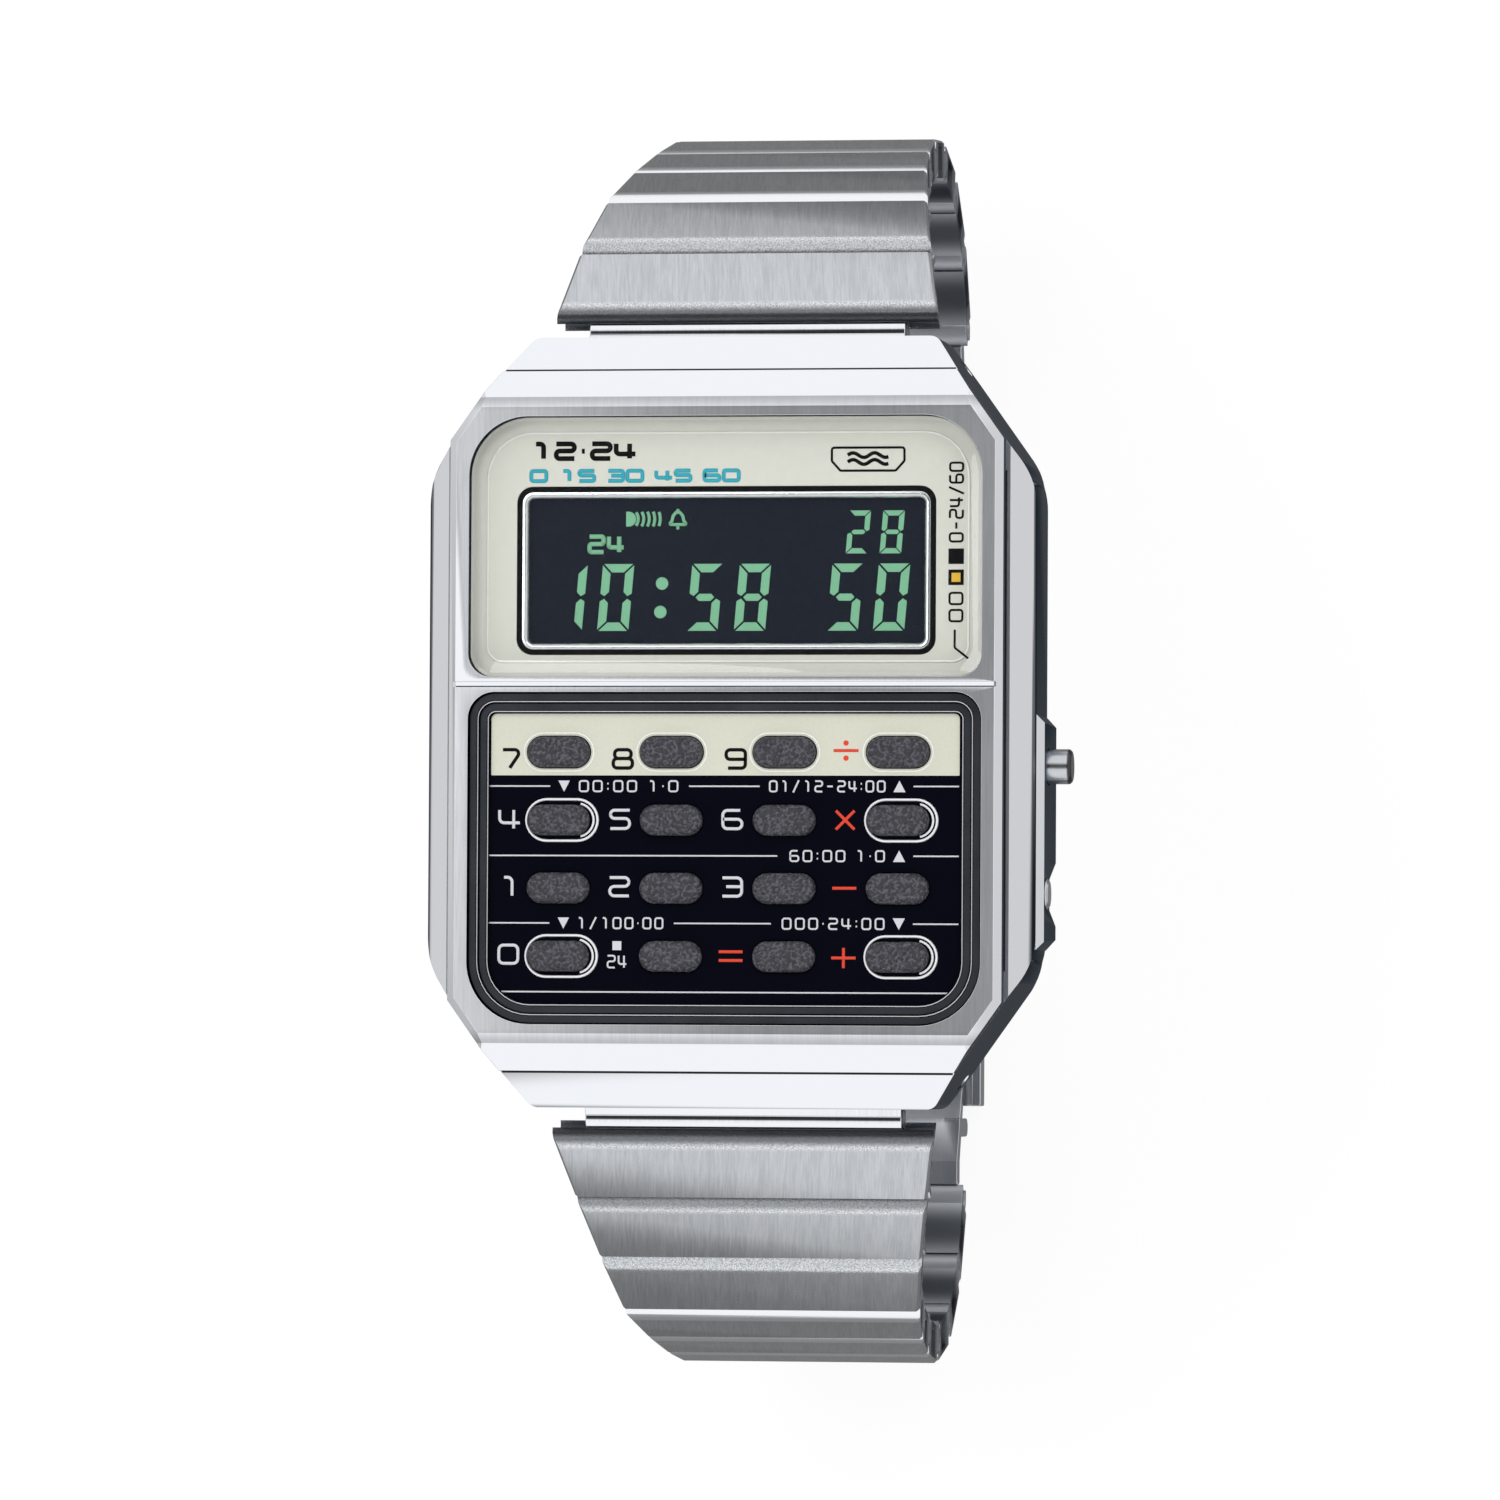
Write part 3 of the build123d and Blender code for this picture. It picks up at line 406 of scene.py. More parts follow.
def evaluated_mesh(piece, name):
    """The mesh that an object's modifiers or curves give, the object itself removed."""
    bpy.context.view_layer.update()
    graph = bpy.context.evaluated_depsgraph_get()
    mesh = bpy.data.meshes.new_from_object(piece.evaluated_get(graph))
    mesh.name = name
    data = piece.data
    bpy.data.objects.remove(piece)
    if isinstance(data, bpy.types.Curve):
        bpy.data.curves.remove(data)
    else:
        bpy.data.meshes.remove(data)
    return mesh


def curve_object(name, lines, heights, **settings):
    """Curve of straight runs in millimetres. A line is (points, closed)."""
    curve = bpy.data.curves.new(name, "CURVE")
    for key, value in settings.items():
        setattr(curve, key, value)
    for i, (points, closed) in enumerate(lines):
        spline = curve.splines.new("POLY")
        spline.points.add(len(points) - 1)
        for point, (x, y) in zip(spline.points, points):
            point.co = (x * MM, y * MM, heights[i % len(heights)], 1)
        spline.use_cyclic_u = closed
    source = bpy.data.objects.new(name, curve)
    bpy.context.scene.collection.objects.link(source)
    return source


def arc(cx, cy, radius, start, end, steps):
    """Points of an arc, its angles in degrees."""
    turns = [math.radians(start + (end - start) * i / steps) for i in range(steps + 1)]
    return [(cx + radius * math.cos(a), cy + radius * math.sin(a)) for a in turns]


def rounded_outline(x0, x1, y0, y1, radii, steps=10):
    """Rectangle with a radius for its lower and one for its upper corners, anticlockwise."""
    low, high = radii
    return (arc(x0 + low, y0 + low, low, 180, 270, steps)
            + arc(x1 - low, y0 + low, low, 270, 360, steps)
            + arc(x1 - high, y1 - high, high, 0, 90, steps)
            + arc(x0 + high, y1 - high, high, 90, 180, steps))


def pill_outline(x, y, length, height, steps=16):
    reach, radius = (length - height) / 2, height / 2
    return arc(x + reach, y, radius, -90, 90, steps) + arc(x - reach, y, radius, 90, 270, steps)


def outline_of(node, radii_at, steps=10):
    """Outline of a node's box at an inset; radii_at gives its corner radii there."""
    low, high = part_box(node)
    x0, x1, y0, y1 = (v / MM for v in (low.x, high.x, low.y, high.y))
    return lambda inset: rounded_outline(x0 + inset, x1 - inset, y0 + inset, y1 - inset,
                                         radii_at(inset), steps)


def crystal_radii(inset):
    return 1.3 - 0.5 * inset, 3.3 - 0.9 * inset


def plate(name, outlines, low, high, material):
    """Thin closed plate between two heights; an outline inside another is a hole. Millimetres."""
    lines = [(outline, True) for outline in outlines]
    source = curve_object(name, lines, [0.0], dimensions="2D", fill_mode="BOTH",
                          extrude=(high - low) / 2)
    mesh = evaluated_mesh(source, name)
    mesh.transform(Matrix.Translation((0, 0, (low + high) / 2)))
    return mesh_object(name, mesh, material)


def stacked(name, outline_at, levels, material, closed=False, smooth=40):
    """Skin through outlines at several insets and heights, capped, or closed as a ring."""
    form = bmesh.new()
    rows = []
    for inset, height in levels:
        rows.append([form.verts.new((x * MM, y * MM, height)) for x, y in outline_at(inset)])
    pairs = list(zip(rows, rows[1:])) + ([(rows[-1], rows[0])] if closed else [])
    for first, second in pairs:
        for i in range(len(first)):
            j = (i + 1) % len(first)
            form.faces.new((first[i], first[j], second[j], second[i]))
    if not closed:
        form.faces.new(list(reversed(rows[0])))
        form.faces.new(rows[-1])
    bmesh.ops.remove_doubles(form, verts=form.verts, dist=0.0005 * MM)
    bmesh.ops.recalc_face_normals(form, faces=form.faces)
    mesh = bpy.data.meshes.new(name)
    form.to_mesh(mesh)
    form.free()
    mesh.shade_smooth()
    mesh.set_sharp_from_angle(angle=math.radians(smooth))
    return mesh_object(name, mesh, material)


def stroke_tree():
    """Geometry Nodes tree that lays a flat rounded line along every curve."""
    name = "Printed strokes"
    if name in bpy.data.node_groups:
        return bpy.data.node_groups[name]
    tree = bpy.data.node_groups.new(name, "GeometryNodeTree")
    for label, kind, default in (("Geometry", "NodeSocketGeometry", None),
                                 ("Stroke Width", "NodeSocketFloat", 0.1 * MM),
                                 ("Thickness", "NodeSocketFloat", PRINT),
                                 ("Corner Radius", "NodeSocketFloat", 0.1 * MM),
                                 ("Ink", "NodeSocketMaterial", None)):
        socket = tree.interface.new_socket(label, in_out="INPUT", socket_type=kind)
        if default is not None:
            socket.default_value = default
    tree.interface.new_socket("Geometry", in_out="OUTPUT", socket_type="NodeSocketGeometry")
    source = tree.nodes.new("NodeGroupInput").outputs
    target = tree.nodes.new("NodeGroupOutput")
    soft = add(tree, "GeometryNodeFilletCurve", {"Curve": source["Geometry"], "Count": 5,
                                                 "Radius": source["Corner Radius"],
                                                 "Limit Radius": True}, mode="POLY")
    upright = add(tree, "GeometryNodeSetCurveNormal", {"Curve": soft.outputs[0]}, mode="Z_UP")
    profile = add(tree, "GeometryNodeCurvePrimitiveQuadrilateral",
                  {"Width": source["Stroke Width"], "Height": source["Thickness"]})
    line = add(tree, "GeometryNodeCurveToMesh", {"Curve": upright.outputs[0],
                                                 "Profile Curve": profile.outputs[0],
                                                 "Fill Caps": True})
    whole = add(tree, "GeometryNodeRealizeInstances", {"Geometry": line.outputs[0]})
    inked = add(tree, "GeometryNodeSetMaterial", {"Geometry": whole.outputs[0],
                                                  "Material": source["Ink"]})
    tree.links.new(inked.outputs[0], target.inputs[0])
    return tree


def strokes(name, lines, height, width, material, corner=0.0):
    """Printed lines on a surface at a height. Lines that follow each other in the list lie
    at slightly different heights, so that crossing ones share no face."""
    steps = [i * PRINT / 6 for i in range(3)]
    source = curve_object(name, lines, steps, dimensions="3D")
    tree = stroke_tree()
    modifier = source.modifiers.new("Strokes", "NODES")
    modifier.node_group = tree
    values = {"Stroke Width": width * MM, "Thickness": PRINT, "Corner Radius": corner * MM,
              "Ink": material}
    for item in tree.interface.items_tree:
        if item.in_out == "INPUT" and item.name in values:
            modifier[item.identifier] = values[item.name]
    mesh = evaluated_mesh(source, name)
    mesh.transform(Matrix.Translation((0, 0, height + PRINT / 2)))
    return mesh_object(name, mesh, material)


# Figures, drawn as strokes in a cell one unit wide and one unit high

FIGURES = {
    "0": [([(0, 0), (1, 0), (1, 1), (0, 1)], True)],
    "1": [([(0.2, 1), (0.62, 1), (0.62, 0)], False)],
    "2": [([(0, 1), (1, 1), (1, 0.52), (0, 0.52), (0, 0), (1, 0)], False)],
    "3": [([(0, 1), (1, 1), (1, 0), (0, 0)], False), ([(0.2, 0.52), (1, 0.52)], False)],
    "4": [([(0, 1), (0, 0.3), (1.06, 0.3)], False), ([(0.74, 1), (0.74, 0)], False)],
    "5": [([(1, 1), (0, 1), (0, 0.55), (1, 0.55), (1, 0), (0, 0)], False)],
    "6": [([(0.9, 1), (0, 1), (0, 0), (1, 0), (1, 0.52), (0, 0.52)], False)],
    "7": [([(0, 1), (1, 1), (0.36, 0)], False)],
    "8": [([(0.07, 0.52), (0.93, 0.52), (0.93, 1), (0.07, 1)], True),
          ([(0, 0), (1, 0), (1, 0.52), (0, 0.52)], True)],
    "9": [([(1, 0.48), (0, 0.48), (0, 1), (1, 1), (1, 0), (0.1, 0)], False)],
    "/": [([(0.1, -0.08), (0.9, 1.08)], False)],
    "-": [([(0.12, 0.5), (0.88, 0.5)], False)],
    ".": [([(0.42, 0.5), (0.58, 0.5)], False)],
    ":": [([(0.42, 0.25), (0.58, 0.25)], False), ([(0.42, 0.75), (0.58, 0.75)], False)],
    "multiply": [([(0.1, 0.1), (0.9, 0.9)], False), ([(0.1, 0.9), (0.9, 0.1)], False)],
    "minus": [([(0, 0.5), (1, 0.5)], False)],
    "plus": [([(0, 0.5), (1, 0.5)], False), ([(0.5, 0), (0.5, 1)], False)],
    "equals": [([(0, 0.28), (1, 0.28)], False), ([(0, 0.72), (1, 0.72)], False)],
}


def figure(name, x, y, width, height):
    """Strokes of one figure about a middle."""
    return [([(x + (u - 0.5) * width, y + (v - 0.5) * height) for u, v in points], closed)
            for points, closed in FIGURES[name]]


def figure_row(text, start, end, y, height, fill=0.72):
    """A row of figures between two places. A space, point or colon takes half a cell."""
    shares = [0.5 if letter in " .:" else 1 for letter in text]
    cell = (end - start) / sum(shares)
    lines, x = [], start
    for letter, share in zip(text, shares):
        if letter != " ":
            lines += figure(letter, x + share * cell / 2, y, fill * cell, height)
        x += share * cell
    return lines


def turned(lines, x, y):
    """The same strokes turned a quarter anticlockwise about a place."""
    return [([(x - (v - y), y + (u - x)) for u, v in points], closed) for points, closed in lines]


SEGMENTS = {"0": "abcdef", "1": "bc", "2": "abged", "3": "abgcd", "4": "fgbc", "5": "afgcd",
            "6": "afgedc", "7": "abc", "8": "abcdefg", "9": "abcdfg"}
LEAN = 0.087                    # how far a display figure leans, for each unit of its height


def segment_outlines(digit, x0, x1, y0, y1, thick, gap):
    """Outlines of one seven-segment digit that leans to the right."""
    height = y1 - y0
    width = x1 - x0 - LEAN * height
    half, t, g = height / 2, thick, gap
    top = [(g, height), (width - g, height), (width - t - g, height - t), (t + g, height - t)]
    upper = [(width, height - g), (width, half + g + 0.3 * t), (width - 0.5 * t, half + g),
             (width - t, half + g + 0.5 * t), (width - t, height - t - g)]
    middle = [(0.6 * t + g, half), (t + g, half + 0.42 * t), (width - t - g, half + 0.42 * t),
              (width - 0.6 * t - g, half), (width - t - g, half - 0.42 * t),
              (t + g, half - 0.42 * t)]
    flip_x = lambda points: [(width - x, y) for x, y in points]
    flip_y = lambda points: [(x, height - y) for x, y in points]
    shapes = {"a": top, "b": upper, "c": flip_y(upper), "d": flip_y(top),
              "e": flip_y(flip_x(upper)), "f": flip_x(upper), "g": middle}
    return [[(x0 + x + LEAN * y, y0 + y) for x, y in shapes[key]] for key in SEGMENTS[digit]]


def disc(x, y, radius, steps=24):
    return arc(x, y, radius, 0, 360 * (steps - 1) / steps, steps - 1)


def square(x, y, side):
    half = side / 2
    return [(x - half, y - half), (x + half, y - half), (x + half, y + half), (x - half, y + half)]


def triangle(x, y, half, rise):
    """Triangle that points up, or down where its rise is negative."""
    return [(x - half, y - rise / 2), (x + half, y - rise / 2), (x, y + rise / 2)]


# Dressed copies of CAD nodes

BODY_OF = {node: body for body, held in frame["record"]["behaviour"]["bodies"].items()
           for node in (held["nodes"] if isinstance(held, dict) else held)}
MERGE = 0.002 * MM              # corners nearer than this are one
SAME_FACE = math.radians(0.6)   # triangles that turn less than this are one face
SMOOTH = math.radians(28)       # edges that turn less than this stay smooth


def dressed(node, material, slot, round_mm):
    """Copy of a CAD node with its edges broken, in place of the node."""
    name = node + "_dressed"
    form = bmesh.new()
    form.from_mesh(frame["nodes"][node].data)
    bmesh.ops.remove_doubles(form, verts=form.verts, dist=MERGE)
    bmesh.ops.dissolve_limit(form, angle_limit=SAME_FACE, verts=form.verts, edges=form.edges)
    mesh = bpy.data.meshes.new(name)
    form.to_mesh(mesh)
    form.free()
    piece = mesh_object(name, mesh, material)
    broken = piece.modifiers.new("Broken edges", "BEVEL")
    broken.width, broken.segments = round_mm * MM, 2
    broken.limit_method, broken.angle_limit = "ANGLE", SMOOTH
    broken.harden_normals = True
    mesh.shade_smooth()
    mesh.set_sharp_from_angle(angle=SMOOTH)
    piece = mesh_object(name, evaluated_mesh(piece, name), material)
    return finish_piece(piece, slot, node, body=BODY_OF[node])


def repaint(node, material):
    """Gives a CAD node its material."""
    data = frame["nodes"][node].data
    data.materials.clear()
    data.materials.append(material)


# Sizes and colours that a user would change

def colour(name, text, value):
    return FloatVectorProperty(name=name, description=text, subtype="COLOR", size=3, min=0, max=1,
                               default=value)


def share(name, text, value):
    return FloatProperty(name=name, description=text, subtype="FACTOR", min=0, max=1,
                         default=value)


def size_mm(name, text, value):
    return FloatProperty(name=name, description=text + ", in millimetres", default=value)


def number(name, text, value, **more):
    return FloatProperty(name=name, description=text, default=value, **more)


class WatchCaseLook(bpy.types.PropertyGroup):
    plate_colour: colour("Plating", "Colour of the plated case", (0.88, 0.90, 0.94))
    # Painted shade and painted reflection: the dark colour and the dimmed shine of the upright sides
    painted_side_shade_and_streaks: colour("Upright sides", "Darker plating of the upright sides",
                        (0.044, 0.053, 0.066))
    painted_side_reflection: colour("Sides edge-on", "Shine of the sides seen edge-on", (0.54, 0.60, 0.68))
    # Painted shade: how dark the strip at each end of the bezel's flat is
    crown_painted_shade: share("Crown", "How dark the bezel's end strip is", 0.42)
    dome: size_mm("Dome", "Radius of the bezel's slight dome across", 160.0)
    bright: share("Bright roughness", "Roughness of the slopes", 0.1)
    satin: share("Satin roughness", "Roughness of the flats", 0.3)
    edge: size_mm("Broken edge", "Width of a broken edge", 0.1)
    seam_drop: size_mm("Seam drop", "Depth of the seam at the ends below the bezel", 0.4)


class WatchGlassLook(bpy.types.PropertyGroup):
    tint: colour("Tint", "Colour of the crystal", (0.985, 0.995, 0.985))
    bevel: size_mm("Bevel", "Width of the crystal's bevel", 0.62)
    drop: size_mm("Drop", "Height of the crystal's bevel", 0.34)


class WatchDisplayLook(bpy.types.PropertyGroup):
    hours: StringProperty(name="Hours", description="Figures on the left", default="10")
    minutes: StringProperty(name="Minutes", description="Figures in the middle", default="58")
    seconds: StringProperty(name="Seconds", description="Figures on the right", default="50")
    day: StringProperty(name="Day", description="Small figures above", default="28")
    segment_colour: colour("Segments", "Colour of a lit segment", (0.19, 0.465, 0.285))
    panel_colour: colour("Panel", "Colour of the dark panel", (0.016, 0.019, 0.030))
    border_colour: colour("Border", "Bright border of the window", (0.80, 0.81, 0.84))
    thick: size_mm("Segment", "Thickness of a segment", 0.47)
    gap: size_mm("Gap", "Gap between segments", 0.075)


class WatchPrintLook(bpy.types.PropertyGroup):
    cream: colour("Cream", "Colour of the dial", (0.69, 0.68, 0.625))
    band: colour("Band", "Colour of the keypad's upper band", (0.63, 0.635, 0.53))
    black: colour("Black", "Black ink", (0.005, 0.005, 0.006))
    teal: colour("Teal", "Teal ink", (0.025, 0.39, 0.51))
    red: colour("Red", "Ink of the signs", (0.70, 0.045, 0.014))
    yellow: colour("Yellow", "Ink of the small square", (0.80, 0.48, 0.04))
    light: colour("Light", "Silvery white ink", (0.62, 0.62, 0.66))
    # Painted highlight colour, for the line inside the crystal's bevel and the rings in the keypad band
    painted_glint: colour("Glint", "Bright line inside the crystal's bevel", (0.86, 0.87, 0.83))


class WatchKeypadLook(bpy.types.PropertyGroup):
    gloss: colour("Gloss black", "Colour of the keypad plate", (0.003, 0.003, 0.007))
    lip: colour("Lip", "Colour of the plate's stepped lip", (0.11, 0.12, 0.14))
    resin: colour("Keys", "Colour of the keys", (0.105, 0.100, 0.125))
    ring: colour("Rings", "Colour of the silver rings", (0.84, 0.84, 0.87))
    face_depth: size_mm("Face depth", "Keypad face below the bezel", 0.72)
    first_x: size_mm("First key", "Middle of the first column", -9.37)
    first_y: size_mm("First row", "Middle of the first row", -1.78)
    pitch_x: size_mm("Column pitch", "Between the columns", 6.36)
    pitch_y: size_mm("Row pitch", "Between the rows", 3.79)
    key_length: size_mm("Key length", "Length of a key", 3.53)
    key_height: size_mm("Key height", "Height of a key", 1.72)
    ring_length: size_mm("Ring length", "Length of a key's ring", 4.17)
    ring_height: size_mm("Ring height", "Height of a key's ring", 2.45)
    ring_shift: size_mm("Ring shift", "Ring's middle from the key's", 0.19)
    label: size_mm("Figure", "Height of a key's figure", 1.02)
    stroke: size_mm("Stroke", "Width of a figure's stroke", 0.165)


class WatchBandLook(bpy.types.PropertyGroup):
    steel_colour: colour("Steel", "Colour of the brushed steel", (0.62, 0.64, 0.67))
    streak_colour: colour("Streaks", "Colour of the darker streaks", (0.50, 0.52, 0.55))
    # Painted highlight: the nose's bright colour on the same steel
    painted_nose_highlight: colour("Nose", "Colour of the nose", (0.90, 0.92, 0.95))
    pit_colour: colour("Pits", "Colour between the blasted grains", (0.50, 0.52, 0.55))
    # Painted shade of the link sides and inside, with painted highlight ripples; the ripple colour is also the
    # clasp's real inner steel
    painted_band_shade: colour("Side", "Colour of the sides and inside", (0.09, 0.098, 0.112))
    painted_ripple_and_inner_steel: colour("Ripples", "Lighter colour at each joint inside", (0.58, 0.60, 0.64))
    lean: number("Brushing lean", "Lean of the brushing", 0.12)
    brushed_roughness: share("Brushed roughness", "Roughness of the flats", 0.27)
    nose_roughness: share("Nose roughness", "Roughness of the noses", 0.25)
    nose_length: size_mm("Nose", "Length of the nose", 0.8)
    edge: size_mm("Broken edge", "Width of a broken edge", 0.06)


class WatchStageLook(bpy.types.PropertyGroup):
    floor_colour: colour("Floor", "Colour of the floor", (0.86, 0.86, 0.86))
    floor_size: number("Floor size", "Side of the floor", 3.0, unit="LENGTH")
    floor_gap: size_mm("Floor gap", "Floor below the clasp", 0.02)
    above: number("Light above", "Brightness behind the camera", 0.03)
    around: number("Light around", "Brightness round the sides", 1.0)
    sides: share("Light at the sides", "Share of that brightness straight to a side", 0.68)
    below: share("Light below", "Share of that brightness below the horizon", 0.24)
    card_direction: FloatVectorProperty(name="Card", description="Middle of the dim patch above",
                                        subtype="DIRECTION", default=(-0.04, 0.05, 0.998))
    card_middle: share("Card middle", "Cosine where the dim patch is full", 0.985)
    card_edge: share("Card edge", "Cosine where the dim patch ends", 0.93)
    low_start: number("Low start", "Height where the dim part starts", -0.20)
    low_end: number("Low end", "Height where the dim part is full", -0.42)
    low_tilt: number("Low tilt", "Rise of the dim part to six o'clock", 0.12)
    shine: number("Floor shine", "Brightness of the floor as seen", 1.04)
    lamp: number("Lamp", "Power of the soft lamp", 0.45, unit="POWER")
    distance: number("Camera distance", "From the top of the bezel", 0.5339, unit="LENGTH")
    lens: number("Lens", "Focal length in millimetres", 230.76)
    turn: number("Turn", "Camera's turn to the right", math.radians(8.661), subtype="ANGLE")
    drop: number("Drop", "Camera's drop towards six o'clock", math.radians(1.811),
                 subtype="ANGLE")
    roll: number("Roll", "Camera's roll", math.radians(0.307), subtype="ANGLE")
    shift_x: size_mm("Aim across", "Middle of the picture across", -1.48)
    shift_y: size_mm("Aim along", "Middle of the picture along", 1.684)


LOOKS = {"watch_case": WatchCaseLook, "watch_glass": WatchGlassLook,
         "watch_display": WatchDisplayLook, "watch_print": WatchPrintLook,
         "watch_keypad": WatchKeypadLook, "watch_band": WatchBandLook,
         "watch_stage": WatchStageLook}


# Operators

class DressCase(bpy.types.Operator):
    """Case, bezel, back cover, pushers and screws with broken edges and plated finishes"""
    bl_idname = "watch.dress_case"
    bl_label = "Case and bezel"

    def execute(self, context):
        look = context.scene.watch_case
        body = plated_metal("Body plating", look, look.satin, look.bright)
        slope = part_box("bezel")[1].y / MM - 1.55
        rim = plated_metal("Bezel plating", look, look.satin, look.bright,
                           (slope - 0.85, slope))
        pusher = plain_metal("Pusher steel", (0.62, 0.64, 0.67), 0.22, 900.0, 5000.0,
                             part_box("mode_button")[1].x - 0.28 * MM)
        back = plain_metal("Back cover steel", (0.50, 0.52, 0.55), 0.3, 9000.0, 260.0)
        screw = plain_metal("Screw steel", (0.58, 0.59, 0.61), 0.25)
        dressed("case_body", body, "plated_resin", 1.5 * look.edge)
        dressed("bezel", rim, "plated_bezel", look.edge)
        for button in ("mode_button", "adjust_button"):
            dressed(button, pusher, "pusher_steel", look.edge / 2)
        dressed("caseback", back, "back_steel", look.edge)
        repaint("caseback_screws", screw)
        self.seams(look)
        self.bar(rim)
        return {"FINISHED"}

    def seams(self, look):
        """Painted shadow in the gap between the bezel and the case."""
        dark = moulded("Seam shadow", (0.008, 0.008, 0.009), 0.6)
        low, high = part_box("bezel")
        half, length = high.x / MM + 0.03, 13.9
        sides = [([(side * half, -length), (side * half, length)], False) for side in (-1, 1)]
        finish_piece(strokes("seam_sides", sides, low.z, 0.09, dark), "plated_resin")
        end, reach = high.y / MM + 0.05, 12.7
        ends = [([(-reach, side * end), (reach, side * end)], False) for side in (-1, 1)]
        piece = strokes("seam_ends", ends, low.z - look.seam_drop * MM, 0.13, dark)
        finish_piece(piece, "plated_resin")

    def bar(self, material):
        """Bright slope of the step across the bezel between its openings."""
        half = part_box("bezel")[1].x / MM - 0.45
        middle, reach, drop = 1.975, 0.14, 0.11
        corners = [(middle - reach, -drop), (middle + reach, 0.0), (middle + reach, -drop)]
        verts = [(side * half * MM, y * MM, TOP + z * MM) for side in (-1, 1) for y, z in corners]
        faces = [(0, 1, 2), (5, 4, 3), (0, 3, 4, 1), (1, 4, 5, 2), (2, 5, 3, 0)]
        mesh = bpy.data.meshes.new("bezel_step")
        mesh.from_pydata(verts, [], faces)
        finish_piece(mesh_object("bezel_step", mesh, material), "plated_bezel")


class FitCrystal(bpy.types.Operator):
    """Bevelled crystal over the display"""
    bl_idname = "watch.fit_crystal"
    bl_label = "Crystal"

    def execute(self, context):
        look = context.scene.watch_glass
        glass = clear_glass("Crystal glass", look.tint)
        low, high = (corner.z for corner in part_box("display_crystal"))
        drop = look.drop * MM
        levels = [(0.0, low), (0.0, high - drop), (0.3 * look.bevel, high - 0.35 * drop),
                  (look.bevel, high - 0.04 * drop), (look.bevel + 0.35, high)]
        piece = stacked("crystal_glass", outline_of("display_crystal", crystal_radii, 16), levels,
                        glass, smooth=24)
        finish_piece(piece, "crystal", "display_crystal")
        return {"FINISHED"}


class FrameDisplay(bpy.types.Operator):
    """Black line and bright bevelled border round the display window"""
    bl_idname = "watch.frame_display"
    bl_label = "Display border"

    def execute(self, context):
        look, inks = context.scene.watch_display, context.scene.watch_print
        black = printed("Border black", inks.black, 0.4)
        silver = plain_metal("Border silver", look.border_colour, 0.2, 3000.0, 3000.0)
        outline = outline_of("display_frame", lambda inset: [max(0.9 - inset, 0.25)] * 2)
        raised = 0.03 * MM
        border = [(0.26, GLASS), (0.26, DIAL + 0.2 * raised), (0.36, DIAL + raised),
                  (0.48, DIAL + raised), (0.62, DIAL - 0.12 * MM), (0.69, GLASS)]
        piece = stacked("display_border", outline, border, silver, closed=True, smooth=60)
        finish_piece(piece, "silver_frame", "display_frame")
        outside, inside, sunk = -0.04, 0.27, DIAL - 0.05 * MM
        line = [(outside, sunk), (outside, DIAL + PRINT), (inside, DIAL + PRINT), (inside, sunk)]
        piece = stacked("display_black_line", outline, line, black, closed=True)
        finish_piece(piece, "silver_frame")
        return {"FINISHED"}


class LightSegments(bpy.types.Operator):
    """Segments, colon and small signs on the display panel"""
    bl_idname = "watch.light_segments"
    bl_label = "Display segments"

    def execute(self, context):
        look = context.scene.watch_display
        lit = moulded("Lit segment", look.segment_colour, 0.45, fineness=6000.0, depth=0.001,
                      variation=0.05)
        panel = moulded("Panel glass", look.panel_colour, 0.2, fineness=4000.0, depth=0.0,
                        variation=0.15, Specular_IOR_Level=0.03)
        repaint("lcd_panel", panel)
        outlines = []
        large = [(look.hours, ((-10.01, -7.92), (-7.38, -5.29))),
                 (look.minutes, ((-2.34, -0.26), (0.34, 2.42))),
                 (look.seconds, ((5.55, 7.63), (8.15, 10.23)))]
        for text, places in large:
            for digit, (x0, x1) in zip(text, places):
                outlines += segment_outlines(digit, x0, x1, 5.01, 8.74, look.thick, look.gap)
        for digit, (x0, x1) in zip(look.day, ((6.60, 8.02), (8.50, 9.92))):
            outlines += segment_outlines(digit, x0, x1, 9.30, 11.69, 0.29, 0.04)
        outlines += [disc(-3.72, 7.65, 0.35), disc(-3.81, 6.06, 0.35)]
        level = 11.245          # middle of the small signs
        outlines.append([(-5.77, 10.83), (-5.55, 10.83)] + arc(-5.62, level, 0.415, -70, 70, 8)
                        + [(-5.55, 11.66), (-5.77, 11.66)])
        piece = plate("display_segments", outlines, GLASS, GLASS + PRINT, lit)
        finish_piece(piece, "display_glass")
        waves = [(arc(-5.68 + 0.2 * i, level, 0.6 + 0.11 * i, -38 + 4 * i, 38 - 4 * i, 6), False)
                 for i in range(5)]
        bell = [([(-3.38, 10.93), (-3.18, 11.12), (-3.12, 11.42), (-2.95, 11.62), (-2.74, 11.62),
                  (-2.57, 11.42), (-2.51, 11.12), (-2.31, 10.93)], True),
                ([(-2.85, 10.86), (-2.85, 10.66)], False),
                ([(-2.85, 11.66), (-2.85, 11.80)], False)]
        day_hours = figure_row("24", -7.98, -5.80, 9.84, 0.86)
        for name, lines, width, corner in (("display_signs", waves + bell, 0.17, 0.06),
                                           ("display_day_hours", day_hours, 0.25, 0.12)):
            finish_piece(strokes(name, lines, GLASS, width, lit, corner), "display_glass")
        return {"FINISHED"}


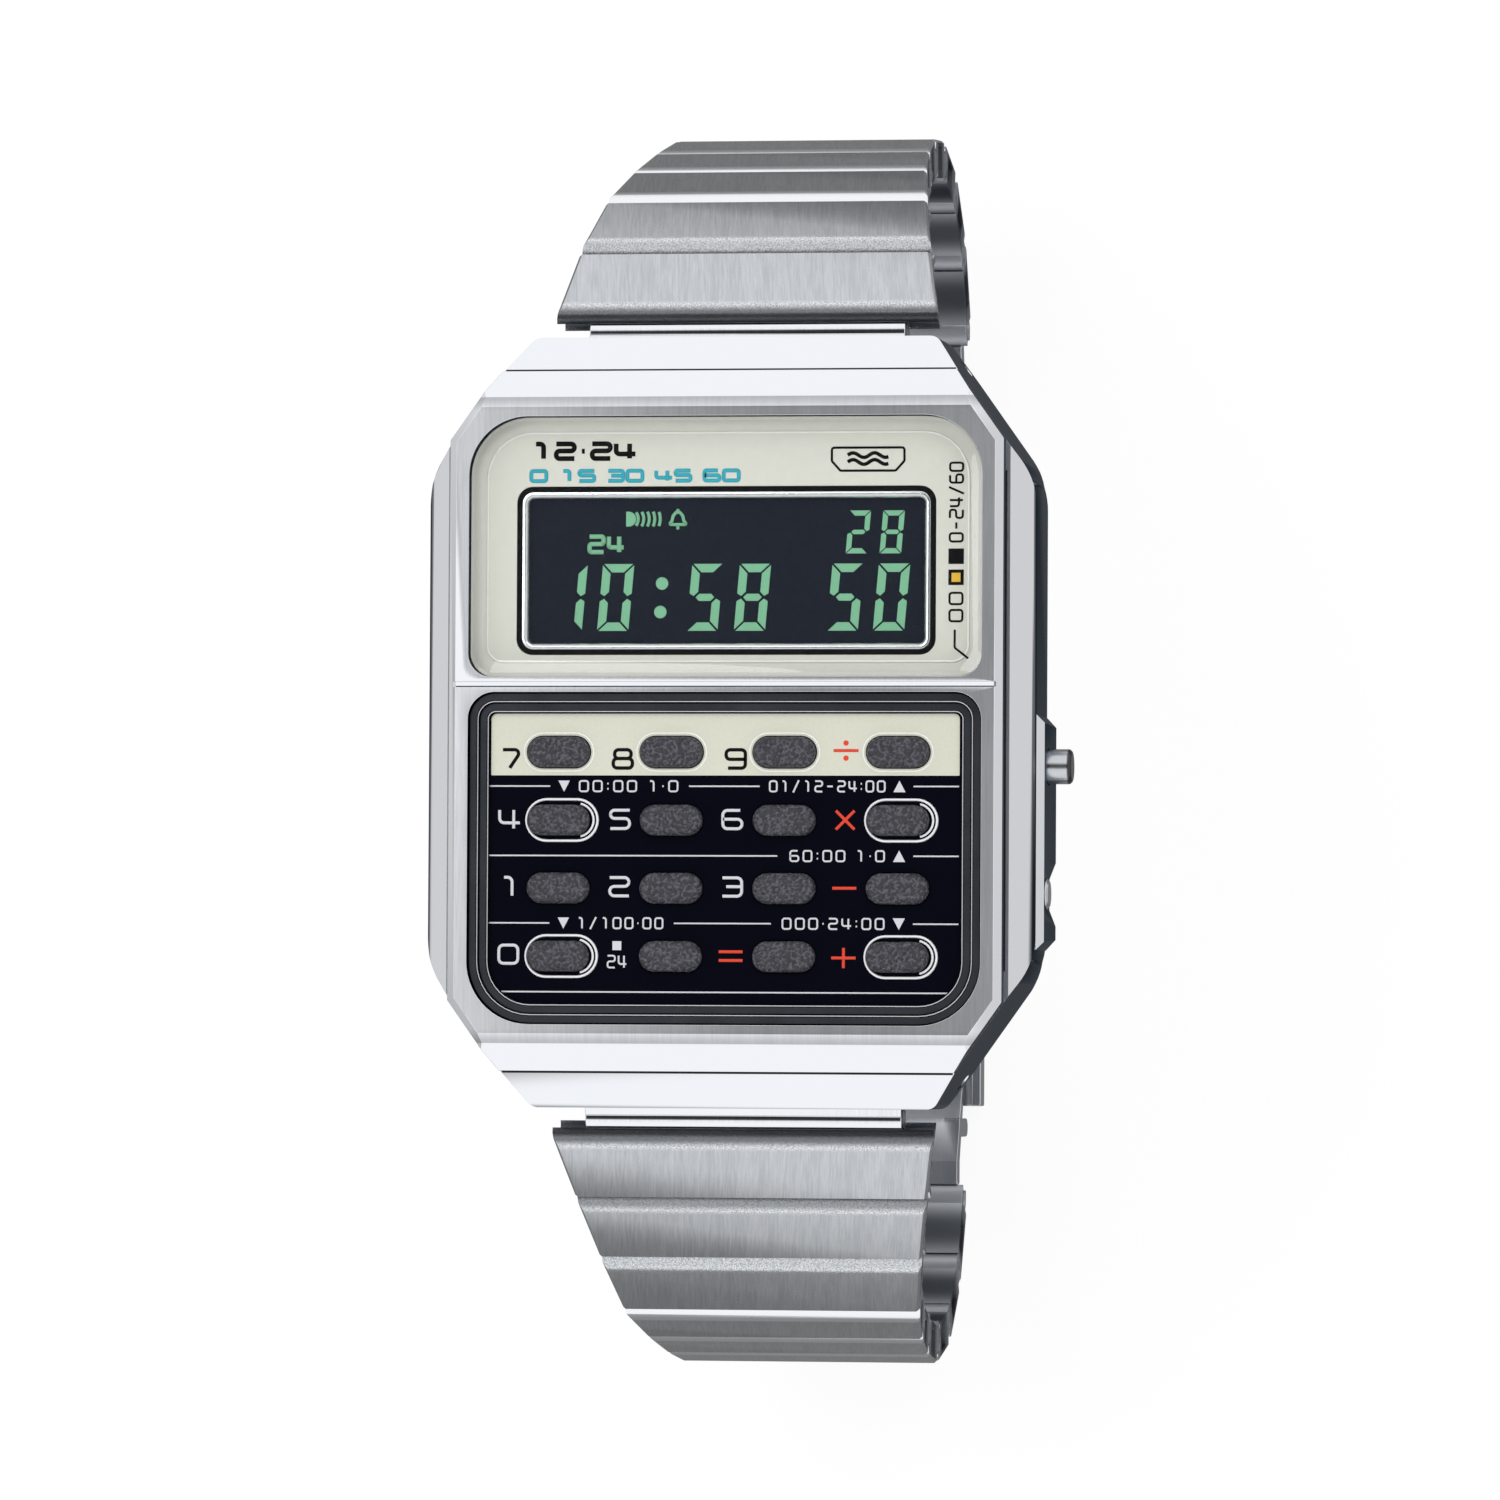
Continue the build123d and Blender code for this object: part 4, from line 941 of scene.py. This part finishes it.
class PrintDial(bpy.types.Operator):
    """Scale, numbers, badge outline and pusher marks on the dial"""
    bl_idname = "watch.print_dial"
    bl_label = "Dial print"

    def execute(self, context):
        inks = context.scene.watch_print
        dial = moulded("Dial cream", inks.cream, 0.42, fineness=2500.0, depth=0.001, variation=0.05)
        repaint("dial_mask", dial)
        black = printed("Dial black", inks.black)
        teal = printed("Dial teal", inks.teal)
        yellow = printed("Dial yellow", inks.yellow)
        bright = printed("Dial glint", inks.painted_glint)
        # Painted reflection: a bright line inside the crystal's bevel, standing in for the light its step catches
        painted_glint = [(outline_of("display_crystal", crystal_radii, 16)(0.85), True)]
        badge = [([(5.86, 15.16), (9.93, 15.16), (9.93, 14.42), (9.45, 13.88), (6.34, 13.88),
                   (5.86, 14.42)], True)]
        ripples = [([(6.75 + 0.12 * i, y + 0.13 * math.sin(0.12 * i * 5.2)) for i in range(20)],
                    False) for y in (14.74, 14.36)]
        middle = 12.85          # of the upright column beside the window
        column = turned(figure_row("0-24/60", middle, 17.42, 9.83, 0.72, 0.7), middle, 9.83)
        column += turned(figure_row("00", middle, 14.75, 5.34, 0.72, 0.66), middle, 5.34)
        column.append(([(12.79, 5.04), (12.79, 4.04), (13.50, 3.48)], False))
        prints = [("painted_glint", painted_glint, 0.11, bright, 0.0),
                  ("hours", figure_row("12.24", -11.2, -5.1, 15.02, 0.82, 0.76), 0.27, black, 0.2),
                  ("numbers", figure_row("0 15 30 45 60", -11.2, 0.75, 13.64, 0.56, 0.78), 0.22,
                   teal, 0.12),
                  ("badge", badge, 0.13, black, 0.14),
                  ("ripples", ripples, 0.2, black, 0.0),
                  ("column", column, 0.12, black, 0.14)]
        for name, lines, width, ink, corner in prints:
            finish_piece(strokes("dial_" + name, lines, DIAL, width, ink, corner), "cream_dial")
        squares = [square(middle, y, 0.86) for y in (9.11, 7.94)]
        piece = plate("dial_squares", squares, DIAL, DIAL + PRINT, black)
        finish_piece(piece, "cream_dial")
        piece = plate("dial_yellow_square", [square(middle, 7.94, 0.5)], DIAL + PRINT,
                      DIAL + 2 * PRINT, yellow)
        finish_piece(piece, "cream_dial")
        return {"FINISHED"}


class FinishKeypad(bpy.types.Operator):
    """Gloss plate, cream band, rings and grained keys"""
    bl_idname = "watch.finish_keypad"
    bl_label = "Keypad"

    def execute(self, context):
        look, inks = context.scene.watch_keypad, context.scene.watch_print
        face = TOP - look.face_depth * MM
        gloss = moulded("Keypad gloss", look.gloss, 0.07, fineness=2500.0, depth=0.0,
                        variation=0.1, Specular_IOR_Level=0.12)
        repaint("keypad_plate", gloss)
        resin = moulded("Key resin", look.resin, 0.5, fineness=6000.0, depth=0.4, variation=1.0,
                        tones=(0.42, 0.62))
        for row in "7 8 9 divide 4 5 6 multiply 1 2 3 minus 0 point equals plus".split():
            repaint("key_" + row, resin)
        columns = [look.first_x + look.pitch_x * i for i in range(4)]
        rows = [look.first_y - look.pitch_y * j for j in range(4)]
        hole = (look.key_length + 0.12, look.key_height + 0.12)
        self.band(face, columns, rows[0], hole, inks)
        self.lip(look)
        self.band_rings(face, columns, rows[0], hole, inks)
        self.silver_rings(face, columns, rows, look)
        return {"FINISHED"}

    def band(self, face, columns, row, hole, inks):
        """Cream print round the keys of the first row."""
        cream = printed("Keypad cream", inks.band, 0.35)
        outlines = [rounded_outline(-13.2, 13.15, -3.08, 0.36, (0.05, 0.3), 6)]
        outlines += [pill_outline(x, row, *hole) for x in columns]
        piece = plate("keypad_band", outlines, face, face + PRINT, cream)
        finish_piece(piece, "keypad_gloss")

    def lip(self, look):
        """Bright rims and graphite steps round the keypad."""
        rims = plain_metal("Keypad rim", (0.78, 0.78, 0.80), 0.18)
        graphite = plain_metal("Keypad lip", look.lip, 0.3)
        opening = lambda inset: rounded_outline(-14.425 + inset, 14.425 - inset, -16.95 + inset,
                                                1.55 - inset, (3.5 - inset, max(1.5 - inset, 0.4)))
        for name, inset, depth in (("outer", 0.52, 0.35), ("inner", 1.07, 0.51)):
            level = TOP - depth * MM
            piece = strokes("keypad_rim_" + name, [(opening(inset), True)], level, 0.06, rims)
            finish_piece(piece, "keypad_gloss")
            piece = plate("keypad_lip_" + name, [opening(inset - 0.43), opening(inset - 0.07)],
                          level, level + PRINT, graphite)
            finish_piece(piece, "keypad_gloss")

    def band_rings(self, face, columns, row, hole, inks):
        """Raised ring round each key of the first row, in a painted highlight colour."""
        painted_glint = printed("Band ring painted highlight", inks.painted_glint, 0.3)
        ridge, wider = face + 0.036 * MM, 0.36
        levels = [(0.0, face), (0.03, ridge), (0.08, ridge), (0.11, face)]
        for i, x in enumerate(columns):
            outline = lambda inset, x=x: pill_outline(x, row, hole[0] + wider - 2 * inset,
                                                      hole[1] + wider - 2 * inset)
            piece = stacked("keypad_band_ring_%d" % (i + 1), outline, levels, painted_glint, closed=True,
                            smooth=80)
            finish_piece(piece, "keypad_gloss")

    def silver_rings(self, face, columns, rows, look):
        """Raised ring round each of four keys, with a painted highlight as a second line at its right end."""
        rings = printed("Key ring silver", look.ring, 0.25)
        ridge = face + 0.09 * MM
        levels = [(0.0, face), (0.03, ridge), (0.11, ridge), (0.15, face)]
        radius = look.ring_height / 2 - 0.3
        reach = (look.ring_length - look.ring_height) / 2
        for name, i, j in (("4", 0, 1), ("multiply", 3, 1), ("0", 0, 3), ("plus", 3, 3)):
            x, y = columns[i] + look.ring_shift, rows[j]
            outline = lambda inset, x=x, y=y: pill_outline(
                x, y, look.ring_length - 2 * inset, look.ring_height - 2 * inset)
            piece = stacked("keypad_ring_" + name, outline, levels, rings, closed=True, smooth=50)
            finish_piece(piece, "keypad_gloss")
            # Painted highlight: a bright arc inside the ring's right end
            inner = [(arc(x + reach, y, radius, -78, 78, 14), False)]
            piece = strokes("keypad_ring_inner_highlight_" + name, inner, face, 0.12, rings)
            finish_piece(piece, "keypad_gloss")


class PrintKeypad(bpy.types.Operator):
    """Figures, signs, rules and small marks on the keypad"""
    bl_idname = "watch.print_keypad"
    bl_label = "Keypad print"

    def execute(self, context):
        look, inks = context.scene.watch_keypad, context.scene.watch_print
        face = TOP - look.face_depth * MM
        light = printed("Keypad silver ink", inks.light, 0.4)
        black = printed("Keypad black ink", inks.black)
        red = printed("Keypad red ink", inks.red)
        size, wide, stroke = look.label, 1.06 * look.label, look.stroke
        upper = [("7", -12.0), ("8", -5.76), ("9", 0.60)]
        dark = [line for name, x in upper for line in figure(name, x, -2.16, wide, size)]
        lower = [("4", -12.17, -5.53), ("5", -5.90, -5.53), ("6", 0.43, -5.53),
                 ("1", -12.11, -9.28), ("2", -5.92, -9.28), ("3", 0.43, -9.28),
                 ("0", -12.17, -13.06)]
        pale = [line for name, x, y in lower for line in figure(name, x, y, wide, size)]
        signs = [("multiply", 6.76, -5.55, 1.3, 1.3), ("minus", 6.73, -9.33, 1.34, 1.0),
                 ("equals", 0.37, -13.12, 1.34, 1.1), ("plus", 6.70, -13.20, 1.36, 1.12)]
        marks = [line for sign in signs for line in figure(*sign)]
        band = face + PRINT     # the cream band's upper side
        divide = [([(6.09, -1.69), (7.49, -1.69)], False)]
        first, second, third, fourth = -3.68, -7.55, -11.31, -15.14
        rules = [(first, ((-13.38, -9.86), (-2.02, 1.95), (10.58, 13.12))),
                 (second, ((-13.38, 2.96), (10.58, 13.12))),
                 (third, ((-13.38, -9.86), (-2.83, 2.62), (10.58, 13.12))),
                 (fourth, ((-12.84, 12.52),))]
        lines = [([(x0, y), (x1, y)], False) for y, runs in rules for x0, x1 in runs]
        words = [("00:00 1.0", -8.34, -2.52, first), ("01/12-24:00", 2.40, 9.09, first),
                 ("60:00 1.0", 3.55, 9.09, second), ("1/100.00", -8.40, -3.34, third),
                 ("000.24:00", 3.13, 9.09, third)]
        small = []
        for text, x0, x1, y in words:
            small += figure_row(text, x0, x1, y, 0.58, 0.62)
        small += figure_row("24", -6.66, -5.42, -13.45, 0.66, 0.66)
        dots = [disc(6.79, y, 0.15, 16) for y in (-1.27, -2.11)]
        left, right = -9.07, 9.79
        arrows = [triangle(left, first, 0.32, -0.62), triangle(right, first, 0.34, 0.64),
                  triangle(right, second, 0.34, 0.64), triangle(left, third, 0.32, -0.62),
                  triangle(right, third, 0.34, -0.64), square(-6.04, -12.56, 0.5)]
        for piece in (strokes("keypad_black_figures", dark, band, 1.15 * stroke, black, 0.22),
                      strokes("keypad_light_figures", pale, face, stroke, light, 0.26),
                      strokes("keypad_red_signs", marks, face, stroke, red),
                      strokes("keypad_divide_bar", divide, band, stroke, red),
                      plate("keypad_divide_dots", dots, band, band + PRINT, red),
                      strokes("keypad_rules", lines, face, 0.085, light),
                      strokes("keypad_small_figures", small, face, 0.1, light, 0.12),
                      plate("keypad_arrows", arrows, face, face + PRINT, light)):
            finish_piece(piece, "keypad_gloss")
        return {"FINISHED"}


class DressBand(bpy.types.Operator):
    """Every link with broken edges, brushed flats and a blasted nose"""
    bl_idname = "watch.dress_band"
    bl_label = "Bracelet"

    def execute(self, context):
        look, plated = context.scene.watch_band, context.scene.watch_case
        hinges = {joint["child"]: Vector(joint["pos_m"]) for joint in frame["joints"]
                  if joint.get("pos_m")}
        # How little painted shade the tips of the blasted noses take, from the end link outwards; the rest are
        # plain
        light = {"12": (0.25, 0.15, 0.7), "6": (0.25, 0.15, 0.35, 0.8)}
        for half, last in (("12", "clasp_catch"), ("6", "clasp_base")):
            links = ["link_%s_%d" % (half, i) for i in range(1, 10)]
            end_link = "end_link_" + half
            steel = plated_metal(end_link + " plating", plated, plated.bright, plated.bright)
            dressed(end_link, steel, "link_steel", look.edge)
            for i, (node, following) in enumerate(zip(links, links[1:] + [last]), 1):
                hinge = hinges[node]
                along = hinges[following] - hinge
                length = along.length
                along.normalize()
                outward = Vector((0, -along.z, along.y)) * (-1 if half == "6" else 1)
                blasted = i < len(light[half])
                steel = link_metal(node + " steel", look, hinge, along, length, outward,
                                   light[half][i] if blasted else 1.0, float(blasted))
                dressed(node, steel, "link_steel", look.edge)
        return {"FINISHED"}


class DressClasp(bpy.types.Operator):
    """Catch, base and cover of the clasp, and the spring bars"""
    bl_idname = "watch.dress_clasp"
    bl_label = "Clasp"

    def execute(self, context):
        look = context.scene.watch_band
        outer = plain_metal("Clasp steel", look.steel_colour, 0.24, 9000.0, 260.0)
        inner = plain_metal("Clasp inner steel", look.painted_ripple_and_inner_steel, 0.3, 9000.0, 900.0)
        dressed("clasp_cover", outer, "clasp_steel", 0.12)
        dressed("clasp_base", inner, "clasp_steel", 0.08)
        dressed("clasp_catch", inner, "clasp_steel", 0.08)
        repaint("spring_bars", plain_metal("Pin steel", (0.55, 0.56, 0.58), 0.2))
        return {"FINISHED"}


class FinishInside(bpy.types.Operator):
    """Finishes of the pieces inside the case"""
    bl_idname = "watch.finish_inside"
    bl_label = "Inside"

    def execute(self, context):
        rubber = moulded("Membrane rubber", (0.05, 0.05, 0.055), 0.7, 2200.0, 0.01)
        seal = moulded("Seal rubber", (0.02, 0.02, 0.022), 0.65, 2600.0, 0.01)
        board = moulded("Board green", (0.02, 0.12, 0.05), 0.45, 3000.0, 0.004, 0.3)
        resin = moulded("Black resin", (0.018, 0.018, 0.02), 0.5, 2800.0, 0.01)
        cell = plain_metal("Cell steel", (0.68, 0.69, 0.70), 0.22)
        spring = plain_metal("Spring steel", (0.50, 0.51, 0.53), 0.25)
        brass = plain_metal("Disc brass", (0.72, 0.52, 0.22), 0.3)
        inside = {"keypad_membrane": rubber, "caseback_gasket": seal, "circuit_board": board,
                  "module_frame": resin, "battery": cell, "battery_clip": spring,
                  "buzzer_disc": brass}
        for node, material in inside.items():
            repaint(node, material)
        for button in ("mode_button", "adjust_button"):
            self.return_spring(button, spring)
        return {"FINISHED"}

    def return_spring(self, button, material):
        """Dressed copy of the pusher's return spring, with a mesh of its own."""
        coil = dressed(button + "_spring", material, "spring_steel", 0.01)
        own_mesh(coil)


class SetStage(bpy.types.Operator):
    """Floor, soft light and the photograph's camera"""
    bl_idname = "watch.set_stage"
    bl_label = "Stage"

    def execute(self, context):
        look = context.scene.watch_stage
        scene = context.scene
        scene.view_settings.view_transform = "Standard"
        self.floor(look)
        self.world(scene, look)
        self.lamps(scene, look)
        self.camera(scene, look)
        return {"FINISHED"}

    def floor(self, look):
        """Pale floor just below the clasp, clear from behind and not seen in the metal."""
        material, tree, shader = new_material("Pale floor", look.floor_colour, 0.7)
        path = add(tree, "ShaderNodeLightPath").outputs
        seen = maths(tree, "MAXIMUM", path["Is Camera Ray"], path["Is Transmission Ray"])
        shine = add(tree, "ShaderNodeEmission", {"Color": (1, 1, 1), "Strength": look.shine})
        pale = add(tree, "ShaderNodeMixShader", {0: maths(tree, "MULTIPLY", seen, 0.85),
                                                 1: shader.outputs[0], 2: shine.outputs[0]})
        face = add(tree, "ShaderNodeNewGeometry")
        clear = add(tree, "ShaderNodeBsdfTransparent")
        both = add(tree, "ShaderNodeMixShader", {0: face.outputs["Backfacing"],
                                                 1: pale.outputs[0], 2: clear.outputs[0]})
        tree.links.new(both.outputs[0], tree.nodes["Material Output"].inputs["Surface"])
        half, low = look.floor_size / 2, -look.floor_gap * MM
        mesh = bpy.data.meshes.new("floor")
        mesh.from_pydata([(-half, -half, low), (half, -half, low), (half, half, low),
                          (-half, half, low)], [], [(0, 1, 2, 3)])
        floor = mesh_object("floor", mesh, material)
        floor.visible_glossy = False

    def world(self, scene, look):
        """White room with a dim card above, a dimmer low part and dimmer sides."""
        world = bpy.data.worlds.new("Soft studio")
        scene.world = world
        world.use_nodes = True
        tree = world.node_tree
        where = add(tree, "ShaderNodeTexCoord").outputs["Generated"]
        parts = split(tree, where)
        card = vectors(tree, "DOT_PRODUCT", where, look.card_direction)
        upper = between(tree, card, look.card_edge, look.card_middle, look.around, look.above)
        lifted = maths(tree, "ADD", parts["Z"], maths(tree, "MULTIPLY", parts["Y"], look.low_tilt))
        lower = between(tree, lifted, look.low_start, look.low_end, 1.0, look.below)
        across = maths(tree, "ABSOLUTE", parts["X"])
        aside = between(tree, across, 0.72, 0.94, 1.0, look.sides)
        glow = maths(tree, "MULTIPLY", maths(tree, "MULTIPLY", upper, lower), aside)
        seen = add(tree, "ShaderNodeLightPath").outputs["Is Camera Ray"]
        light = maths(tree, "ADD", seen,
                      maths(tree, "MULTIPLY", maths(tree, "SUBTRACT", 1.0, seen), glow))
        back = tree.nodes["Background"]
        back.inputs["Color"].default_value = (1, 1, 1, 1)
        tree.links.new(light, back.inputs["Strength"])

    def lamps(self, scene, look):
        for name, place, size, power in (("left_lamp", (-0.16, 0.10, 0.42), 0.22, look.lamp),
                                         ("top_lamp", (0.10, 0.30, 0.40), 0.25, 0.6 * look.lamp)):
            data = bpy.data.lights.new(name, "AREA")
            data.shape, data.size, data.energy = "DISK", size, power
            lamp = bpy.data.objects.new(name, data)
            lamp.visible_glossy = False
            lamp.location = place
            aim = Vector((0, 0, TOP)) - Vector(place)
            lamp.rotation_euler = aim.to_track_quat("-Z", "Y").to_euler()
            scene.collection.objects.link(lamp)

    def camera(self, scene, look):
        a, e, r = look.turn, look.drop, look.roll
        back = Vector((math.sin(a) * math.cos(e), -math.sin(e), math.cos(a) * math.cos(e)))
        right = Vector((math.cos(a), 0, -math.sin(a)))
        up = back.cross(right)
        across = right * math.cos(r) + up * math.sin(r)
        upright = up * math.cos(r) - right * math.sin(r)
        place = (look.distance * back - look.shift_x * MM * across - look.shift_y * MM * upright
                 + Vector((0, 0, TOP)))
        data = bpy.data.cameras.new("photo_camera")
        data.sensor_width, data.sensor_fit, data.lens = 36.0, "HORIZONTAL", look.lens
        data.clip_start, data.clip_end = 0.01, 20.0
        camera = bpy.data.objects.new("photo_camera", data)
        turn = Matrix((across, upright, back)).transposed().to_4x4()
        camera.matrix_world = Matrix.Translation(place) @ turn
        scene.collection.objects.link(camera)
        scene.camera = camera


OPERATORS = (DressCase, FitCrystal, FrameDisplay, LightSegments, PrintDial, FinishKeypad,
             PrintKeypad, DressBand, DressClasp, FinishInside, SetStage)


class WatchPanel(bpy.types.Panel):
    """Sizes and colours of the watch, and a button for each group of pieces"""
    bl_idname = "VIEW3D_PT_calculator_watch"
    bl_label = "Calculator watch"
    bl_space_type = "VIEW_3D"
    bl_region_type = "UI"
    bl_category = "Watch"

    def draw(self, context):
        for operator in OPERATORS:
            self.layout.operator(operator.bl_idname)
        for key, look in LOOKS.items():
            box = self.layout.box()
            for name in look.__annotations__:
                box.prop(getattr(context.scene, key), name)


def register():
    for key, look in LOOKS.items():
        bpy.utils.register_class(look)
        setattr(bpy.types.Scene, key, PointerProperty(type=look))
    for item in OPERATORS + (WatchPanel,):
        bpy.utils.register_class(item)


def unregister():
    for item in reversed(OPERATORS + (WatchPanel,)):
        bpy.utils.unregister_class(item)
    for key, look in LOOKS.items():
        delattr(bpy.types.Scene, key)
        bpy.utils.unregister_class(look)


def main():
    register()
    for operator in OPERATORS:
        group, action = operator.bl_idname.split(".")
        getattr(getattr(bpy.ops, group), action)()


if __name__ == "__main__":
    main()
